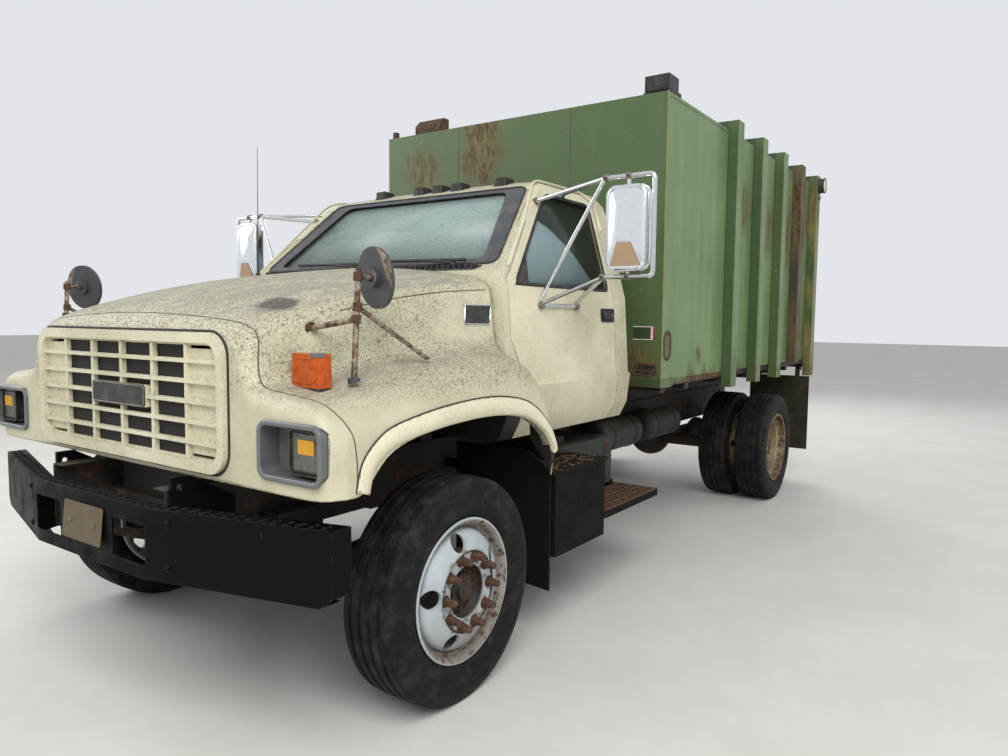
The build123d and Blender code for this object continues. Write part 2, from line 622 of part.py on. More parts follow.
# Heights of the hinge barrels of a door, and the room that the cab leaves for the door
DOOR_BARRELS = ((1110, 1160), (1285, 1335))
DOOR_BARREL_RADIUS = 8
with BuildPart() as door_room:
    add(door_slab(DOOR_GAP))
    side_profile(DOOR_JAMB, (DOOR_TOP_X - DOOR_GAP, 1100))
    block(*DOOR_CORNER_ROOM)
    for barrel in DOOR_BARRELS:
        rod(
            at(DOOR_HINGE_X, DOOR_HINGE_STATION, barrel[0] - DOOR_GAP),
            at(DOOR_HINGE_X, DOOR_HINGE_STATION, barrel[1] + DOOR_GAP), DOOR_BARREL_RADIUS + DOOR_GAP,
        )
    mirror(about=Plane.YZ)

# Cab shell with its mounts on the rails and the stubs of five roof lamps
ROOF_LAMPS_X = (-470, -150, 0, 150, 470)
ROOF_LAMP_HALF_WIDTH = 32
ROOF_LAMP_STATION = (1190, 1280)
CAB_MOUNT_X = (350, 430)
CAB_MOUNT_STATIONS = ((560, 650), (1660, 1750))
with BuildPart() as cab_shell:
    add(cab_outside)
    add(cab_inside, mode=Mode.SUBTRACT)
    add(door_room.part, mode=Mode.SUBTRACT)
    cross_profile(WINDSHIELD_OPENING, (400, 1130), mode=Mode.SUBTRACT)
    rear_window_x = (-REAR_WINDOW[0], REAR_WINDOW[0])
    block(rear_window_x, (CAB_REAR - 100, CAB_REAR + 10), REAR_WINDOW[1:], mode=Mode.SUBTRACT)
    for lamp_x in ROOF_LAMPS_X:
        block((lamp_x - ROOF_LAMP_HALF_WIDTH, lamp_x + ROOF_LAMP_HALF_WIDTH), ROOF_LAMP_STATION, (2290, 2372))
    for side in (-1, 1):
        for station in CAB_MOUNT_STATIONS:
            block(sorted(side * x for x in CAB_MOUNT_X), station, (RAIL_TOP, CAB_FLOOR + 5))
cab_shell.part.label = "cab_shell"
export_step(cab_shell.part, "parts/cab_shell.step")

with BuildPart() as door_left:
    add(cab_outside)
    add(door_slab(0), mode=Mode.INTERSECT)
    side_profile(DOOR_WINDOW, (600, 1200), mode=Mode.SUBTRACT)
    for barrel in DOOR_BARRELS:
        block((DOOR_HINGE_X - 25, DOOR_HINGE_X + 4), (DOOR_FRONT, DOOR_FRONT + 30), barrel)
        block((DOOR_HINGE_X - 6, DOOR_HINGE_X + 4), (DOOR_HINGE_STATION, DOOR_FRONT + 10), barrel)
        rod(
            at(DOOR_HINGE_X, DOOR_HINGE_STATION, barrel[0]), at(DOOR_HINGE_X, DOOR_HINGE_STATION, barrel[1]),
            DOOR_BARREL_RADIUS,
        )
door_left.part.label = "door_left"
export_step(door_left.part, "parts/door_left.step")

with BuildPart() as door_right:
    mirror(door_left.part, about=Plane.YZ)
door_right.part.label = "door_right"
export_step(door_right.part, "parts/door_right.step")

# Glass: each pane follows the slope of the wall that it closes
GLASS_INSET = 18
with BuildPart() as door_glass_left:
    pane = [(966, WINDOW_BELT), (823, 2245)]
    slab = [(x - GLASS_INSET, z) for x, z in pane] + [(x - GLASS_INSET - GLASS, z) for x, z in reversed(pane)]
    cross_profile(slab, (600, 1620))
    side_profile(DOOR_WINDOW, (700, 1100), mode=Mode.INTERSECT)
door_glass_left.part.label = "door_glass_left"
export_step(door_glass_left.part, "parts/door_glass_left.step")

with BuildPart() as door_glass_right:
    mirror(door_glass_left.part, about=Plane.YZ)
door_glass_right.part.label = "door_glass_right"
export_step(door_glass_right.part, "parts/door_glass_right.step")

with BuildPart() as cab_glass:
    foot, head = CAB_SIDE[2], CAB_SIDE[3]
    run = Vector(head[0] - foot[0], head[1] - foot[1])
    inward = Vector(run.Y, -run.X) / run.length
    near, far = inward * GLASS_INSET, inward * (GLASS_INSET + GLASS)
    side_profile(
        [(foot[0] + near.X, foot[1] + near.Y), (head[0] + near.X, head[1] + near.Y),
         (head[0] + far.X, head[1] + far.Y), (foot[0] + far.X, foot[1] + far.Y)],
        (-900, 900),
    )
    cross_profile(WINDSHIELD_OPENING, (400, 1200), mode=Mode.INTERSECT)
    block(rear_window_x, (CAB_REAR - 30, CAB_REAR - 30 + GLASS), REAR_WINDOW[1:])
cab_glass.part.label = "cab_glass"
export_step(cab_glass.part, "parts/cab_glass.step")

# Cab fittings
STEERING_CENTRE = (400, 1010, 1640)
STEERING_TILT = (0, 0.62, 0.78)
with BuildPart() as dashboard:
    side_profile([(550, 1440), (760, 1440), (840, 1560), (820, 1640), (700, 1710), (550, 1720)], (-840, 840))
    rod(at(400, 750, 1490), at(*STEERING_CENTRE), 26)
    with Locations(Plane(origin=at(*STEERING_CENTRE), x_dir=(1, 0, 0), z_dir=STEERING_TILT)):
        Torus(205, 14)
        Box(400, 30, 14)
        Cylinder(45, 24)
dashboard.part.label = "dashboard"
export_step(dashboard.part, "parts/dashboard.step")

SEAT_HALF_WIDTH = 720
with BuildPart() as seat_bench:
    block((-SEAT_HALF_WIDTH + 30, SEAT_HALF_WIDTH - 30), (1150, 1640), (CAB_FLOOR + CAB_WALL, 1290))
    block((-SEAT_HALF_WIDTH, SEAT_HALF_WIDTH), (1100, 1640), (1290, 1420))
    side_profile([(1500, 1420), (1640, 1420), (1740, 1880), (1640, 1880)], (-SEAT_HALF_WIDTH, SEAT_HALF_WIDTH))
seat_bench.part.label = "seat_bench"
export_step(seat_bench.part, "parts/seat_bench.step")

# Wipers: offset of the pivot and of the blade's two ends
WIPERS = [
    (640, 690, 130),
    (-60, 0, -560),
]
with BuildPart() as wipers:
    for pivot_x, blade_start, blade_end in WIPERS:
        rod(at(pivot_x, 560, 1790), at(pivot_x, 560, 1850), 14)
        rod(at(pivot_x, 560, 1845), at((blade_start + blade_end) / 2, 596, 1866), 7)
        rod(at(blade_start, 592, 1860), at(blade_end, 602, 1872), 8)
    add(cab_outside, mode=Mode.SUBTRACT)
wipers.part.label = "wipers"
export_step(wipers.part, "parts/wipers.step")

# Door mirrors: a tube frame between two brackets on the door, and the head that hangs in it
MIRROR_TUBE = 12
MIRROR_HEAD_X = (1315, 1525)
MIRROR_HEAD_HEIGHT = (1800, 2200)
MIRROR_STATION = 900
with BuildPart() as door_mirror_left:
    elbow = at(1290, MIRROR_STATION, 1775)
    outer_x = MIRROR_HEAD_X[1] + 22
    bent_tube(
        [at(832, 992, 2183), at(1300, MIRROR_STATION, 2243), at(outer_x, MIRROR_STATION, 2243),
         at(outer_x, MIRROR_STATION, 1775), elbow, at(960, 1190, 1640)],
        MIRROR_TUBE, 24,
    )
    rod(at(808, 1300, 2262), at(1290, MIRROR_STATION + 8, 2243), MIRROR_TUBE - 2)
    rod(at(960, 830, 1640), at(1290, MIRROR_STATION - 4, 2236), MIRROR_TUBE - 2)
    rod(at(970, 830, 1640), elbow, MIRROR_TUBE - 2)
    rod(at(984, 820, 1640), at(984, 1200, 1640), MIRROR_TUBE)
    head_x = sum(MIRROR_HEAD_X) / 2
    head_size = (MIRROR_HEAD_X[1] - MIRROR_HEAD_X[0], MIRROR_HEAD_HEIGHT[1] - MIRROR_HEAD_HEIGHT[0])
    with BuildSketch(cross_plane(MIRROR_STATION + 20)) as face:
        with Locations((head_x, sum(MIRROR_HEAD_HEIGHT) / 2)):
            RectangleRounded(*head_size, 50)
    extrude(face.sketch, amount=50)
    for post_height in (MIRROR_HEAD_HEIGHT[0] - 25, MIRROR_HEAD_HEIGHT[1]):
        rod(at(head_x, MIRROR_STATION, post_height), at(head_x, MIRROR_STATION, post_height + 43), 9)
    add(cab_outside, mode=Mode.SUBTRACT)
door_mirror_left.part.label = "door_mirror_left"
export_step(door_mirror_left.part, "parts/door_mirror_left.step")

with BuildPart() as door_mirror_right:
    mirror(door_mirror_left.part, about=Plane.YZ)
door_mirror_right.part.label = "door_mirror_right"
export_step(door_mirror_right.part, "parts/door_mirror_right.step")

# Hood sections from the cowl to the nose
# Each row: station, half width, shoulder height, crown height, width and rise of the shoulder's corner
HOOD_SECTIONS = [
    (HOOD_REAR, 925, 1690, 1835, 110, 78),
    (-170, 915, 1620, 1752, 110, 70),
    (-600, 800, 1530, 1630, 90, 62),
    (-720, 765, 1430, 1560, 80, 70),
    (MASK_FRONT, 750, 1390, 1525, 80, 75),
]


def hood_form(inset, bottom):
    """The hood between the fenders, drawn in by the inset."""
    with BuildPart() as form:
        for station, half_width, shoulder, crown, corner_run, corner_rise in HOOD_SECTIONS:
            if station == MASK_FRONT:
                station += inset
            side_x = half_width - inset
            corner = (side_x - corner_run, shoulder + corner_rise - inset)
            with BuildSketch(cross_plane(station)):
                with BuildLine():
                    Polyline(
                        (-side_x, shoulder - inset), (-side_x, bottom), (side_x, bottom), (side_x, shoulder - inset)
                    )
                    Line((side_x, shoulder - inset), corner)
                    ThreePointArc(corner, (0, crown - inset), (-corner[0], corner[1]))
                    Line((-corner[0], corner[1]), (-side_x, shoulder - inset))
                make_face()
        loft(ruled=True)
    return form.part


# Fender outlines for one side: plan rows are offset and station
FENDER_PLAN = [(640, MASK_FRONT), (900, MASK_FRONT), (1120, -757), (1178, -732), (FENDER_OUTER_X, -655),
               (FENDER_OUTER_X, 560), (1180, FENDER_REAR), (640, FENDER_REAR)]
FENDER_CROSS = [(640, 850), (FENDER_OUTER_X, 850), (FENDER_OUTER_X, 1235), (1182, 1310), (1140, 1372),
                (1070, 1412), (960, 1440), (640, 1480)]
FENDER_SIDE = [(MASK_FRONT, FENDER_FRONT_BOTTOM), (MASK_FRONT, 1270), (-735, 1310), (-690, 1318), (-560, 1322),
               (-490, 1348), (-85, 1412), (200, 1440), (430, 1430), (540, 1370), (600, 1240),
               (FENDER_REAR, 1100), (FENDER_REAR, FENDER_REAR_BOTTOM), (0, FENDER_REAR_BOTTOM),
               (0, FENDER_FRONT_BOTTOM)]


def fender_form(inset):
    """Both fenders as solids, drawn in by the inset."""
    with BuildPart() as form:
        with BuildSketch(level_plane(850)) as plan:
            with BuildLine():
                Polyline(*FENDER_PLAN, close=True)
            make_face()
            if inset:
                offset(amount=-inset, kind=Kind.INTERSECTION)
        extrude(plan.sketch, amount=700)
        cross_profile([(x - inset, z - inset) for x, z in FENDER_CROSS], (-900, 700), mode=Mode.INTERSECT)
        outline = [(y, z - inset) for y, z in FENDER_SIDE[1:-3]]
        bottom = [(FENDER_REAR, 800), (MASK_FRONT, 800)] if inset else FENDER_SIDE[-3:] + FENDER_SIDE[:1]
        side_profile(outline + bottom, (600, 1300), mode=Mode.INTERSECT)
        mirror(about=Plane.YZ)
    return form.part


# Wheel arch opening: stations and heights of its lip
ARCH_FRONT = [(-590, 900), (-576, 975)]
ARCH_REAR = [(614, 956), (614, 840), (-590, 840)]
with BuildPart() as hood_shell:
    add(hood_form(0, HOOD_SIDE_BOTTOM))
    add(fender_form(0))
    block((-700, 700), (MASK_FRONT, MASK_FRONT + HOOD_SKIN), (FENDER_FRONT_BOTTOM, 1400))
    add(hood_form(HOOD_SKIN, HOOD_SIDE_BOTTOM - 40), mode=Mode.SUBTRACT)
    add(fender_form(HOOD_SKIN), mode=Mode.SUBTRACT)
    block((-800, 800), (MASK_FRONT + HOOD_SKIN, HOOD_REAR + 30), (800, 1340), mode=Mode.SUBTRACT)
    block((-1035, 1035), (HOOD_REAR, 700), (800, 1900), mode=Mode.SUBTRACT)
    for side in (-1, 1):
        with BuildSketch(side_plane(min(side * 700, side * 1300))) as arch:
            with BuildLine():
                Polyline(*ARCH_FRONT)
                ThreePointArc((-576, 975), (-535, 1078), (-430, 1130))
                ThreePointArc((-430, 1130), (60, 1176), (402, 1135))
                ThreePointArc((402, 1135), (540, 1062), (614, 956))
                Polyline(*ARCH_REAR)
                Line((-590, 840), (-590, 900))
            make_face()
        extrude(arch.sketch, amount=600, mode=Mode.SUBTRACT)
    with BuildSketch(cross_plane(MASK_FRONT - 10)) as openings:
        with Locations((0, (GRILLE_BOTTOM + GRILLE_TOP) / 2)):
            RectangleRounded(1310, 440, 70)
        with Locations((-1020, 1122), (1020, 1122)):
            RectangleRounded(300, 184, 34)
    extrude(openings.sketch, amount=-105, mode=Mode.SUBTRACT)
    for side in (-1, 1):
        lug = sorted((side * 446, side * 462))
        side_profile([(-742, 1040), (-742, 975), (-775, 912), (-825, 912), (-825, 958), (MASK_FRONT, 990),
                      (MASK_FRONT, 1040)], lug)
        rod(at(side * 431, *HOOD_PIVOT), at(side * 450, *HOOD_PIVOT), HOOD_PIVOT_RADIUS)
hood_shell.part.label = "hood_shell"
export_step(hood_shell.part, "parts/hood_shell.step")

# Grille: a rounded frame with level and upright bars, and blank panels at its two ends
GRILLE_FRONT = -782
GRILLE_LEVEL_BARS = (1105, 1180, 1255, 1330, 1405)
GRILLE_UPRIGHTS_X = (-453, -226.5, 0, 226.5, 453)
GRILLE_INNER_HALF = 650
with BuildPart() as grille:
    grille_middle = (GRILLE_BOTTOM + GRILLE_TOP) / 2
    with BuildSketch(cross_plane(GRILLE_FRONT)) as frame_face:
        with Locations((0, grille_middle)):
            RectangleRounded(2 * GRILLE_HALF_WIDTH, GRILLE_TOP - GRILLE_BOTTOM, 90)
            RectangleRounded(2 * GRILLE_INNER_HALF, 430, 60, mode=Mode.SUBTRACT)
    extrude(frame_face.sketch, amount=GRILLE_FRONT - MASK_FRONT)
    with BuildSketch(cross_plane(MASK_FRONT)) as collar:
        with Locations((0, grille_middle)):
            RectangleRounded(1304, 434, 66)
            RectangleRounded(1284, 414, 56, mode=Mode.SUBTRACT)
    extrude(collar.sketch, amount=-30)
    for bar_height in GRILLE_LEVEL_BARS:
        bar = (bar_height - 8, bar_height + 8)
        block((8 - GRILLE_INNER_HALF, GRILLE_INNER_HALF - 8), (GRILLE_FRONT + 6, -754), bar)
    for upright_x in GRILLE_UPRIGHTS_X:
        block((upright_x - 10, upright_x + 10), (GRILLE_FRONT + 10, -752), (1038, 1472))
    for side in (-1, 1):
        block(sorted((side * 453, side * 642)), (-757, -747), (1060, 1450))
    block((-200, 190), (GRILLE_FRONT, -754), (1212, 1298))
    add(hood_shell.part, mode=Mode.SUBTRACT)
grille.part.label = "grille"
export_step(grille.part, "parts/grille.step")

# Headlamps with bezel, bucket and lens, and the turn lamps on the ledge above them
HEADLAMP_CENTRE = (1020, 1122)
BEZEL_FRONT = -768
BUCKET_REAR = -678
with BuildPart() as turn_lamps:
    block((865, 1005), (-620, -566), (1300, 1440))
    add(fender_form(0), mode=Mode.SUBTRACT)
with BuildPart() as front_lamps:
    with BuildSketch(cross_plane(BEZEL_FRONT)) as bezel:
        with Locations(HEADLAMP_CENTRE):
            RectangleRounded(320, 204, 42)
            RectangleRounded(284, 168, 30, mode=Mode.SUBTRACT)
    extrude(bezel.sketch, amount=BEZEL_FRONT - MASK_FRONT)
    with BuildSketch(cross_plane(BEZEL_FRONT)) as bucket:
        with Locations(HEADLAMP_CENTRE):
            RectangleRounded(294, 178, 32)
            RectangleRounded(284, 168, 27, mode=Mode.SUBTRACT)
    extrude(bucket.sketch, amount=BEZEL_FRONT - BUCKET_REAR)
    block((876, 1164), (-690, BUCKET_REAR), (1036, 1208))
    block((1010, 1150), (-745, -688), (1052, 1192))
    add(turn_lamps.part)
    mirror(about=Plane.YZ)
    add(hood_shell.part, mode=Mode.SUBTRACT)
front_lamps.part.label = "front_lamps"
export_step(front_lamps.part, "parts/front_lamps.step")

# Round mirrors on posts above the fenders: post, brace, arm to the hood and disc
# Start, end, radius, with each point as offset, station and height
HOOD_MIRROR_RODS = [
    ((1050, -502, 1330), (1050, -478, 1740), 11),
    ((1050, -483, 1606), (1050, -82, 1396), 9),
    ((1050, -490, 1563), (805, -505, 1524), 11),
    ((1050, -480, 1712), (1046, -408, 1711), 8),
    ((1044, -415, 1710), (1049, -396, 1712), 36),
    ((1048, -400, 1711), (1052, -384, 1713), 112),
    ((1050, -502, 1325), (1050, -501, 1356), 22),
]
with BuildPart() as hood_mirrors:
    for start, end, radius in HOOD_MIRROR_RODS:
        rod(at(*start), at(*end), radius)
    mirror(about=Plane.YZ)
    add(fender_form(0), mode=Mode.SUBTRACT)
    add(hood_form(0, HOOD_SIDE_BOTTOM), mode=Mode.SUBTRACT)
hood_mirrors.part.label = "hood_mirrors"
export_step(hood_mirrors.part, "parts/hood_mirrors.step")

# Refuse box: one hollow steel box, open at its rear
with BuildPart() as refuse_box:
    block((-BOX_HALF_WIDTH, BOX_HALF_WIDTH), (BOX_FRONT, BOX_REAR), (BOX_BOTTOM, BOX_TOP))
    inside_x = BOX_HALF_WIDTH - BOX_WALL
    inside_height = (BOX_BOTTOM + BOX_WALL, BOX_TOP - BOX_WALL)
    block((-inside_x, inside_x), (BOX_FRONT + BOX_WALL, BOX_REAR + 10), inside_height, mode=Mode.SUBTRACT)
refuse_box.part.label = "refuse_box"
export_step(refuse_box.part, "parts/refuse_box.step")

# Side posts: each row is its number from the front and the height of its foot
POST_FEET = [
    (0, 1090),
    (1, 1090),
    (2, 1090),
    (3, 1200),
    (4, 1040),
]
with BuildPart() as side_posts:
    for number, foot in POST_FEET:
        post_front = RIB_FIRST + number * RIB_PITCH
        for side in (-1, 1):
            post_x = sorted((side * BOX_HALF_WIDTH, side * (BOX_HALF_WIDTH + RIB_DEPTH)))
            block(post_x, (post_front, post_front + RIB_WIDTH), (foot, RIB_TOP))
side_posts.part.label = "side_posts"
export_step(side_posts.part, "parts/side_posts.step")

# Roof bows between the posts; the last one carries the ears of the rear door
TAILGATE_EARS_X = (-610, 610)
with BuildPart() as roof_bows:
    for number, _ in POST_FEET:
        bow_front = RIB_FIRST + number * RIB_PITCH
        block((-BOX_HALF_WIDTH, BOX_HALF_WIDTH), (bow_front, bow_front + RIB_WIDTH), (BOX_TOP, RIB_TOP))
    for ear_x in TAILGATE_EARS_X:
        block((ear_x - 12, ear_x + 12), (BOX_REAR - 5, TAILGATE_PIVOT[0] + 24), (BOX_TOP + 4, RIB_TOP))
    rod(
        at(-700, *TAILGATE_PIVOT), at(700, *TAILGATE_PIVOT), TAILGATE_PIN_RADIUS + RUNNING_CLEARANCE,
        mode=Mode.SUBTRACT,
    )
roof_bows.part.label = "roof_bows"
export_step(roof_bows.part, "parts/roof_bows.step")

# Subframe under the box: two long sills, cross bearers, the tilt tube and the ears of the hoist
SILL_X = (RAIL_OUTER_X - RAIL_FLANGE, RAIL_OUTER_X)
SILL_BOTTOM = RAIL_TOP + 6
BEARER_BOTTOM = 1120
BEARER_STATIONS = (2000, 2400, 3080, 3690, 4300, 4910, 5540)
BEARER_LENGTH = 70
HOIST_BEARER = (2240, 2400)
# Sills, ears of the hoist, edge rails and front aprons of one side: offsets, stations, heights
SUBFRAME_SIDE_BLOCKS = [
    (SILL_X, (2050, 5600), (SILL_BOTTOM, BEARER_BOTTOM)),
    ((60, 78), HOIST_BEARER, (1000, BEARER_BOTTOM)),
    ((BOX_HALF_WIDTH - 40, BOX_HALF_WIDTH - 2), (2000, BOX_REAR - 10), (BOX_BOTTOM - 40, BOX_BOTTOM)),
    ((700, 1130), (1986, 2000), (BOX_BOTTOM - 45, BOX_BOTTOM)),
]
with BuildPart() as box_subframe:
    for side in (-1, 1):
        for x, station, height in SUBFRAME_SIDE_BLOCKS:
            block(sorted(side * edge for edge in x), station, height)
    for station in BEARER_STATIONS:
        bearer = (station, station + BEARER_LENGTH)
        block((-BOX_HALF_WIDTH + 10, BOX_HALF_WIDTH - 10), bearer, (BEARER_BOTTOM, BOX_BOTTOM))
    block((-RAIL_OUTER_X, RAIL_OUTER_X), HOIST_BEARER, (BEARER_BOTTOM, BOX_BOTTOM))
    rod(at(-RAIL_OUTER_X, *TILT_PIVOT), at(RAIL_OUTER_X, *TILT_PIVOT), TILT_PIVOT_RADIUS)
    rod(at(-80, *HOIST_EYE), at(80, *HOIST_EYE), HOIST_PIN_RADIUS, mode=Mode.SUBTRACT)
box_subframe.part.label = "box_subframe"
export_step(box_subframe.part, "parts/box_subframe.step")

# Rear flaps on a bar under the box
FLAP_STATION = (5494, 5506)
HANGERS_X = ((700, 740), (1080, 1120))
with BuildPart() as rear_mudflaps:
    for side in (-1, 1):
        block(sorted((side * 640, side * 1220)), FLAP_STATION, (300, 1035))
        for hanger_x in HANGERS_X:
            hanger = sorted(side * x for x in hanger_x)
            block(hanger, (FLAP_STATION[1], 5540), (1000, BEARER_BOTTOM))
            block(hanger, (FLAP_STATION[1], 5600), (BEARER_BOTTOM - 30, BEARER_BOTTOM))
rear_mudflaps.part.label = "rear_mudflaps"
export_step(rear_mudflaps.part, "parts/rear_mudflaps.step")

# Lamps on the box: floodlight and lamp housing on the roof, round work lamps on the last posts
with BuildPart() as box_lamps:
    block((950, 1140), (2040, 2190), (BOX_TOP, 2975))
    block((965, 1125), (2030, 2180), (2975, 3070))
    side_profile([(1995, BOX_TOP), (2100, BOX_TOP), (2100, 3055), (2040, 3055), (1995, 3010)], (-890, -650))
    block((-1125, -1095), (2000, 2040), (BOX_TOP, 3000))
    for side in (-1, 1):
        post_face = BOX_HALF_WIDTH + RIB_DEPTH
        rod(at(side * post_face, 5590, 2915), at(side * (post_face + 48), 5590, 2915), 72)
box_lamps.part.label = "box_lamps"
export_step(box_lamps.part, "parts/box_lamps.step")

# Rear door: panel, upright and level ribs, and the top pin that it hangs on
TAILGATE_FRONT = BOX_REAR + 8
TAILGATE_SKIN_REAR = 5690
TAILGATE_BOTTOM = BOX_BOTTOM + 10
TAILGATE_TOP = 2925
with BuildPart() as tailgate:
    skin_station = (TAILGATE_FRONT, TAILGATE_SKIN_REAR)
    block((-BOX_HALF_WIDTH, BOX_HALF_WIDTH), skin_station, (TAILGATE_BOTTOM, TAILGATE_TOP))
    for rib_x in (-1110, -390, 330, 1050):
        block((rib_x, rib_x + 60), (TAILGATE_SKIN_REAR, TAILGATE_REAR), (TAILGATE_BOTTOM, TAILGATE_TOP - 10))
    for rib_height in (TAILGATE_BOTTOM, 2050):
        block((-1110, 1110), (TAILGATE_SKIN_REAR, TAILGATE_REAR), (rib_height, rib_height + 80))
    rod(at(-680, *TAILGATE_PIVOT), at(680, *TAILGATE_PIVOT), TAILGATE_PIN_RADIUS)
    for arm_x in (-660, -570, 570, 660):
        block((arm_x - 12, arm_x + 12), (5674, 5706), (TAILGATE_TOP - 30, TAILGATE_PIVOT[1]))
tailgate.part.label = "tailgate"
export_step(tailgate.part, "parts/tailgate.step")

# Hoist: barrel hung in the chassis ears, and the rod that pushes the box up
hoist_run = Vector(HOIST_EYE[0] - HOIST_FOOT[0], HOIST_EYE[1] - HOIST_FOOT[1])
HOIST_BARREL_RADIUS = 65
HOIST_ROD_RADIUS = 45
HOIST_HEAD_GAP = 170


def along_hoist(distance):
    """A point on the cylinder's axis, from the foot pin towards the rod's eye."""
    share = distance / hoist_run.length
    return at(0, HOIST_FOOT[0] + share * hoist_run.X, HOIST_FOOT[1] + share * hoist_run.Y)


with BuildPart() as hoist_barrel:
    rod(along_hoist(60), along_hoist(hoist_run.length - HOIST_HEAD_GAP), HOIST_BARREL_RADIUS)
    rod(at(-60, *HOIST_FOOT), at(60, *HOIST_FOOT), 45)
    rod(along_hoist(0), along_hoist(80), 44)
    bore_radius = HOIST_ROD_RADIUS + RUNNING_CLEARANCE
    rod(along_hoist(110), along_hoist(hoist_run.length), bore_radius, mode=Mode.SUBTRACT)
    rod(at(-100, *HOIST_FOOT), at(100, *HOIST_FOOT), HOIST_PIN_RADIUS + RUNNING_CLEARANCE, mode=Mode.SUBTRACT)
hoist_barrel.part.label = "hoist_barrel"
export_step(hoist_barrel.part, "parts/hoist_barrel.step")

with BuildPart() as hoist_rod:
    rod(along_hoist(115), along_hoist(hoist_run.length - 30), HOIST_ROD_RADIUS)
    rod(at(-50, *HOIST_EYE), at(50, *HOIST_EYE), 42)
    rod(at(-60, *HOIST_EYE), at(60, *HOIST_EYE), HOIST_PIN_RADIUS + RUNNING_CLEARANCE, mode=Mode.SUBTRACT)
hoist_rod.part.label = "hoist_rod"
export_step(hoist_rod.part, "parts/hoist_rod.step")
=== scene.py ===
import math
import random

import bpy
import bmesh
from mathutils import Matrix, Vector
from mathutils.bvhtree import BVHTree


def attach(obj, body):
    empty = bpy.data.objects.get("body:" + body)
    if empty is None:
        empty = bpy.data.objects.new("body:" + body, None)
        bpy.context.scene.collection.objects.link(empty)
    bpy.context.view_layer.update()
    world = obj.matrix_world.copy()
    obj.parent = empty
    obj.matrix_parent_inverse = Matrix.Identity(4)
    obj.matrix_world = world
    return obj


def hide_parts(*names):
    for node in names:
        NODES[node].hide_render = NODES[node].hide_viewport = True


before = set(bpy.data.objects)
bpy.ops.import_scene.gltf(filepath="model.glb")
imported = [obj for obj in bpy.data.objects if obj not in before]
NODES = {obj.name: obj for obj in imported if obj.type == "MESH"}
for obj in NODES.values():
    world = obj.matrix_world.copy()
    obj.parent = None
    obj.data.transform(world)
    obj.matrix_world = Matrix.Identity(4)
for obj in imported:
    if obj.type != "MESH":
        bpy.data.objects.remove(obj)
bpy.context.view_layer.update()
random.seed(12)

# Frame of the truck: metres, +X to the driver's side, the nose towards -Y.
# A station is a distance behind the front axle.
FRONT_AXLE_Y = -2.400
REAR_AXLE = 4.445
WHEEL_HEIGHT = 0.465
FRONT_WHEEL_X = 1.052
REAR_PAIR_X = 0.928
REAR_TYRES_X = (0.768, 1.088)
SIDES = ((1, "left"), (-1, "right"))


def at(x, station, height):
    """A point from its offset across, its station and its height."""
    return Vector((x, FRONT_AXLE_Y + station, height))


def upright(u, v, w):
    """Places an outline that faces along the truck; its depth is a station."""
    return at(u, w, v)


def outward(side, reach):
    """A step away from the middle of the truck."""
    return Vector((side * reach, 0, 0))


def round_axle(centre, radius, count, start=0.0):
    """Spots spaced evenly on a circle round an axle."""
    spots = []
    for k in range(count):
        angle = start + 2 * math.pi * k / count
        spots.append(centre + Vector((0, radius * math.cos(angle), radius * math.sin(angle))))
    return spots


def random_step(across, along, up):
    """A step with each part drawn from its own range."""
    return Vector([random.uniform(*limits) for limits in (across, along, up)])


def mirrored(profile, side):
    """A wheel's profile, facing out on its own side."""
    return [(side * offset, radius) for offset, radius in profile]


def between(rows, value):
    """The second column of a short table, read at a value of its rising first column."""
    for low, high in zip(rows, rows[1:]):
        if value <= high[0]:
            share = max(0.0, (value - low[0]) / (high[0] - low[0]))
            return low[1] + share * (high[1] - low[1])
    return rows[-1][1]


def smooth_line(points, count):
    """Evenly numbered points on a curve through the given ones."""
    points = [Vector(p) for p in points]
    spans = len(points) - 1
    result = []
    for i in range(count):
        place = i * spans / (count - 1)
        k = min(int(place), spans - 1)
        t = place - k
        before = points[max(k - 1, 0)]
        start, end = points[k], points[k + 1]
        after = points[min(k + 2, spans)]
        lead, trail = (end - before) / 2, (after - start) / 2
        result.append(
            start * (2 * t**3 - 3 * t**2 + 1) + lead * (t**3 - 2 * t**2 + t)
            + end * (3 * t**2 - 2 * t**3) + trail * (t**3 - t**2)
        )
    return result


def bent(points, radius, steps=5):
    """A run of points with its corners rounded."""
    points = [Vector(p) for p in points]
    result = [points[0]]
    for before, corner, after in zip(points, points[1:], points[2:]):
        back, on = (before - corner), (after - corner)
        reach = min(radius, back.length / 2.1, on.length / 2.1)
        start, end = corner + back.normalized() * reach, corner + on.normalized() * reach
        for i in range(steps + 1):
            t = i / steps
            result.append(start * (1 - t) ** 2 + corner * (2 * t * (1 - t)) + end * t**2)
    return result + [points[-1]]


def rounded(points, radius, steps=5):
    """A closed run of points with its corners rounded."""
    points = list(points)
    return bent(points[-1:] + points + points[:1], radius, steps)[1:-1]


def laid(path, nearest, spacing=0.03):
    """The path in short steps on a surface, and the surface's normals there."""
    path = [Vector(p) for p in path]
    spots = [path[0]]
    for start, end in zip(path, path[1:]):
        steps = max(1, round((end - start).length / spacing))
        spots += [start.lerp(end, (i + 1) / steps) for i in range(steps)]
    found = [nearest(spot) for spot in spots]
    return [hit[0] for hit in found], [hit[1] for hit in found]


def rounded_rectangle(width, height, radius, steps=5, centre=(0.0, 0.0)):
    """Corner-rounded outline, anticlockwise, as pairs."""
    result = []
    for quarter, (sx, sy) in enumerate(((1, 1), (-1, 1), (-1, -1), (1, -1))):
        for i in range(steps + 1):
            angle = math.pi / 2 * (quarter + i / steps)
            result.append((
                centre[0] + sx * (width / 2 - radius) + radius * math.cos(angle),
                centre[1] + sy * (height / 2 - radius) + radius * math.sin(angle),
            ))
    return result


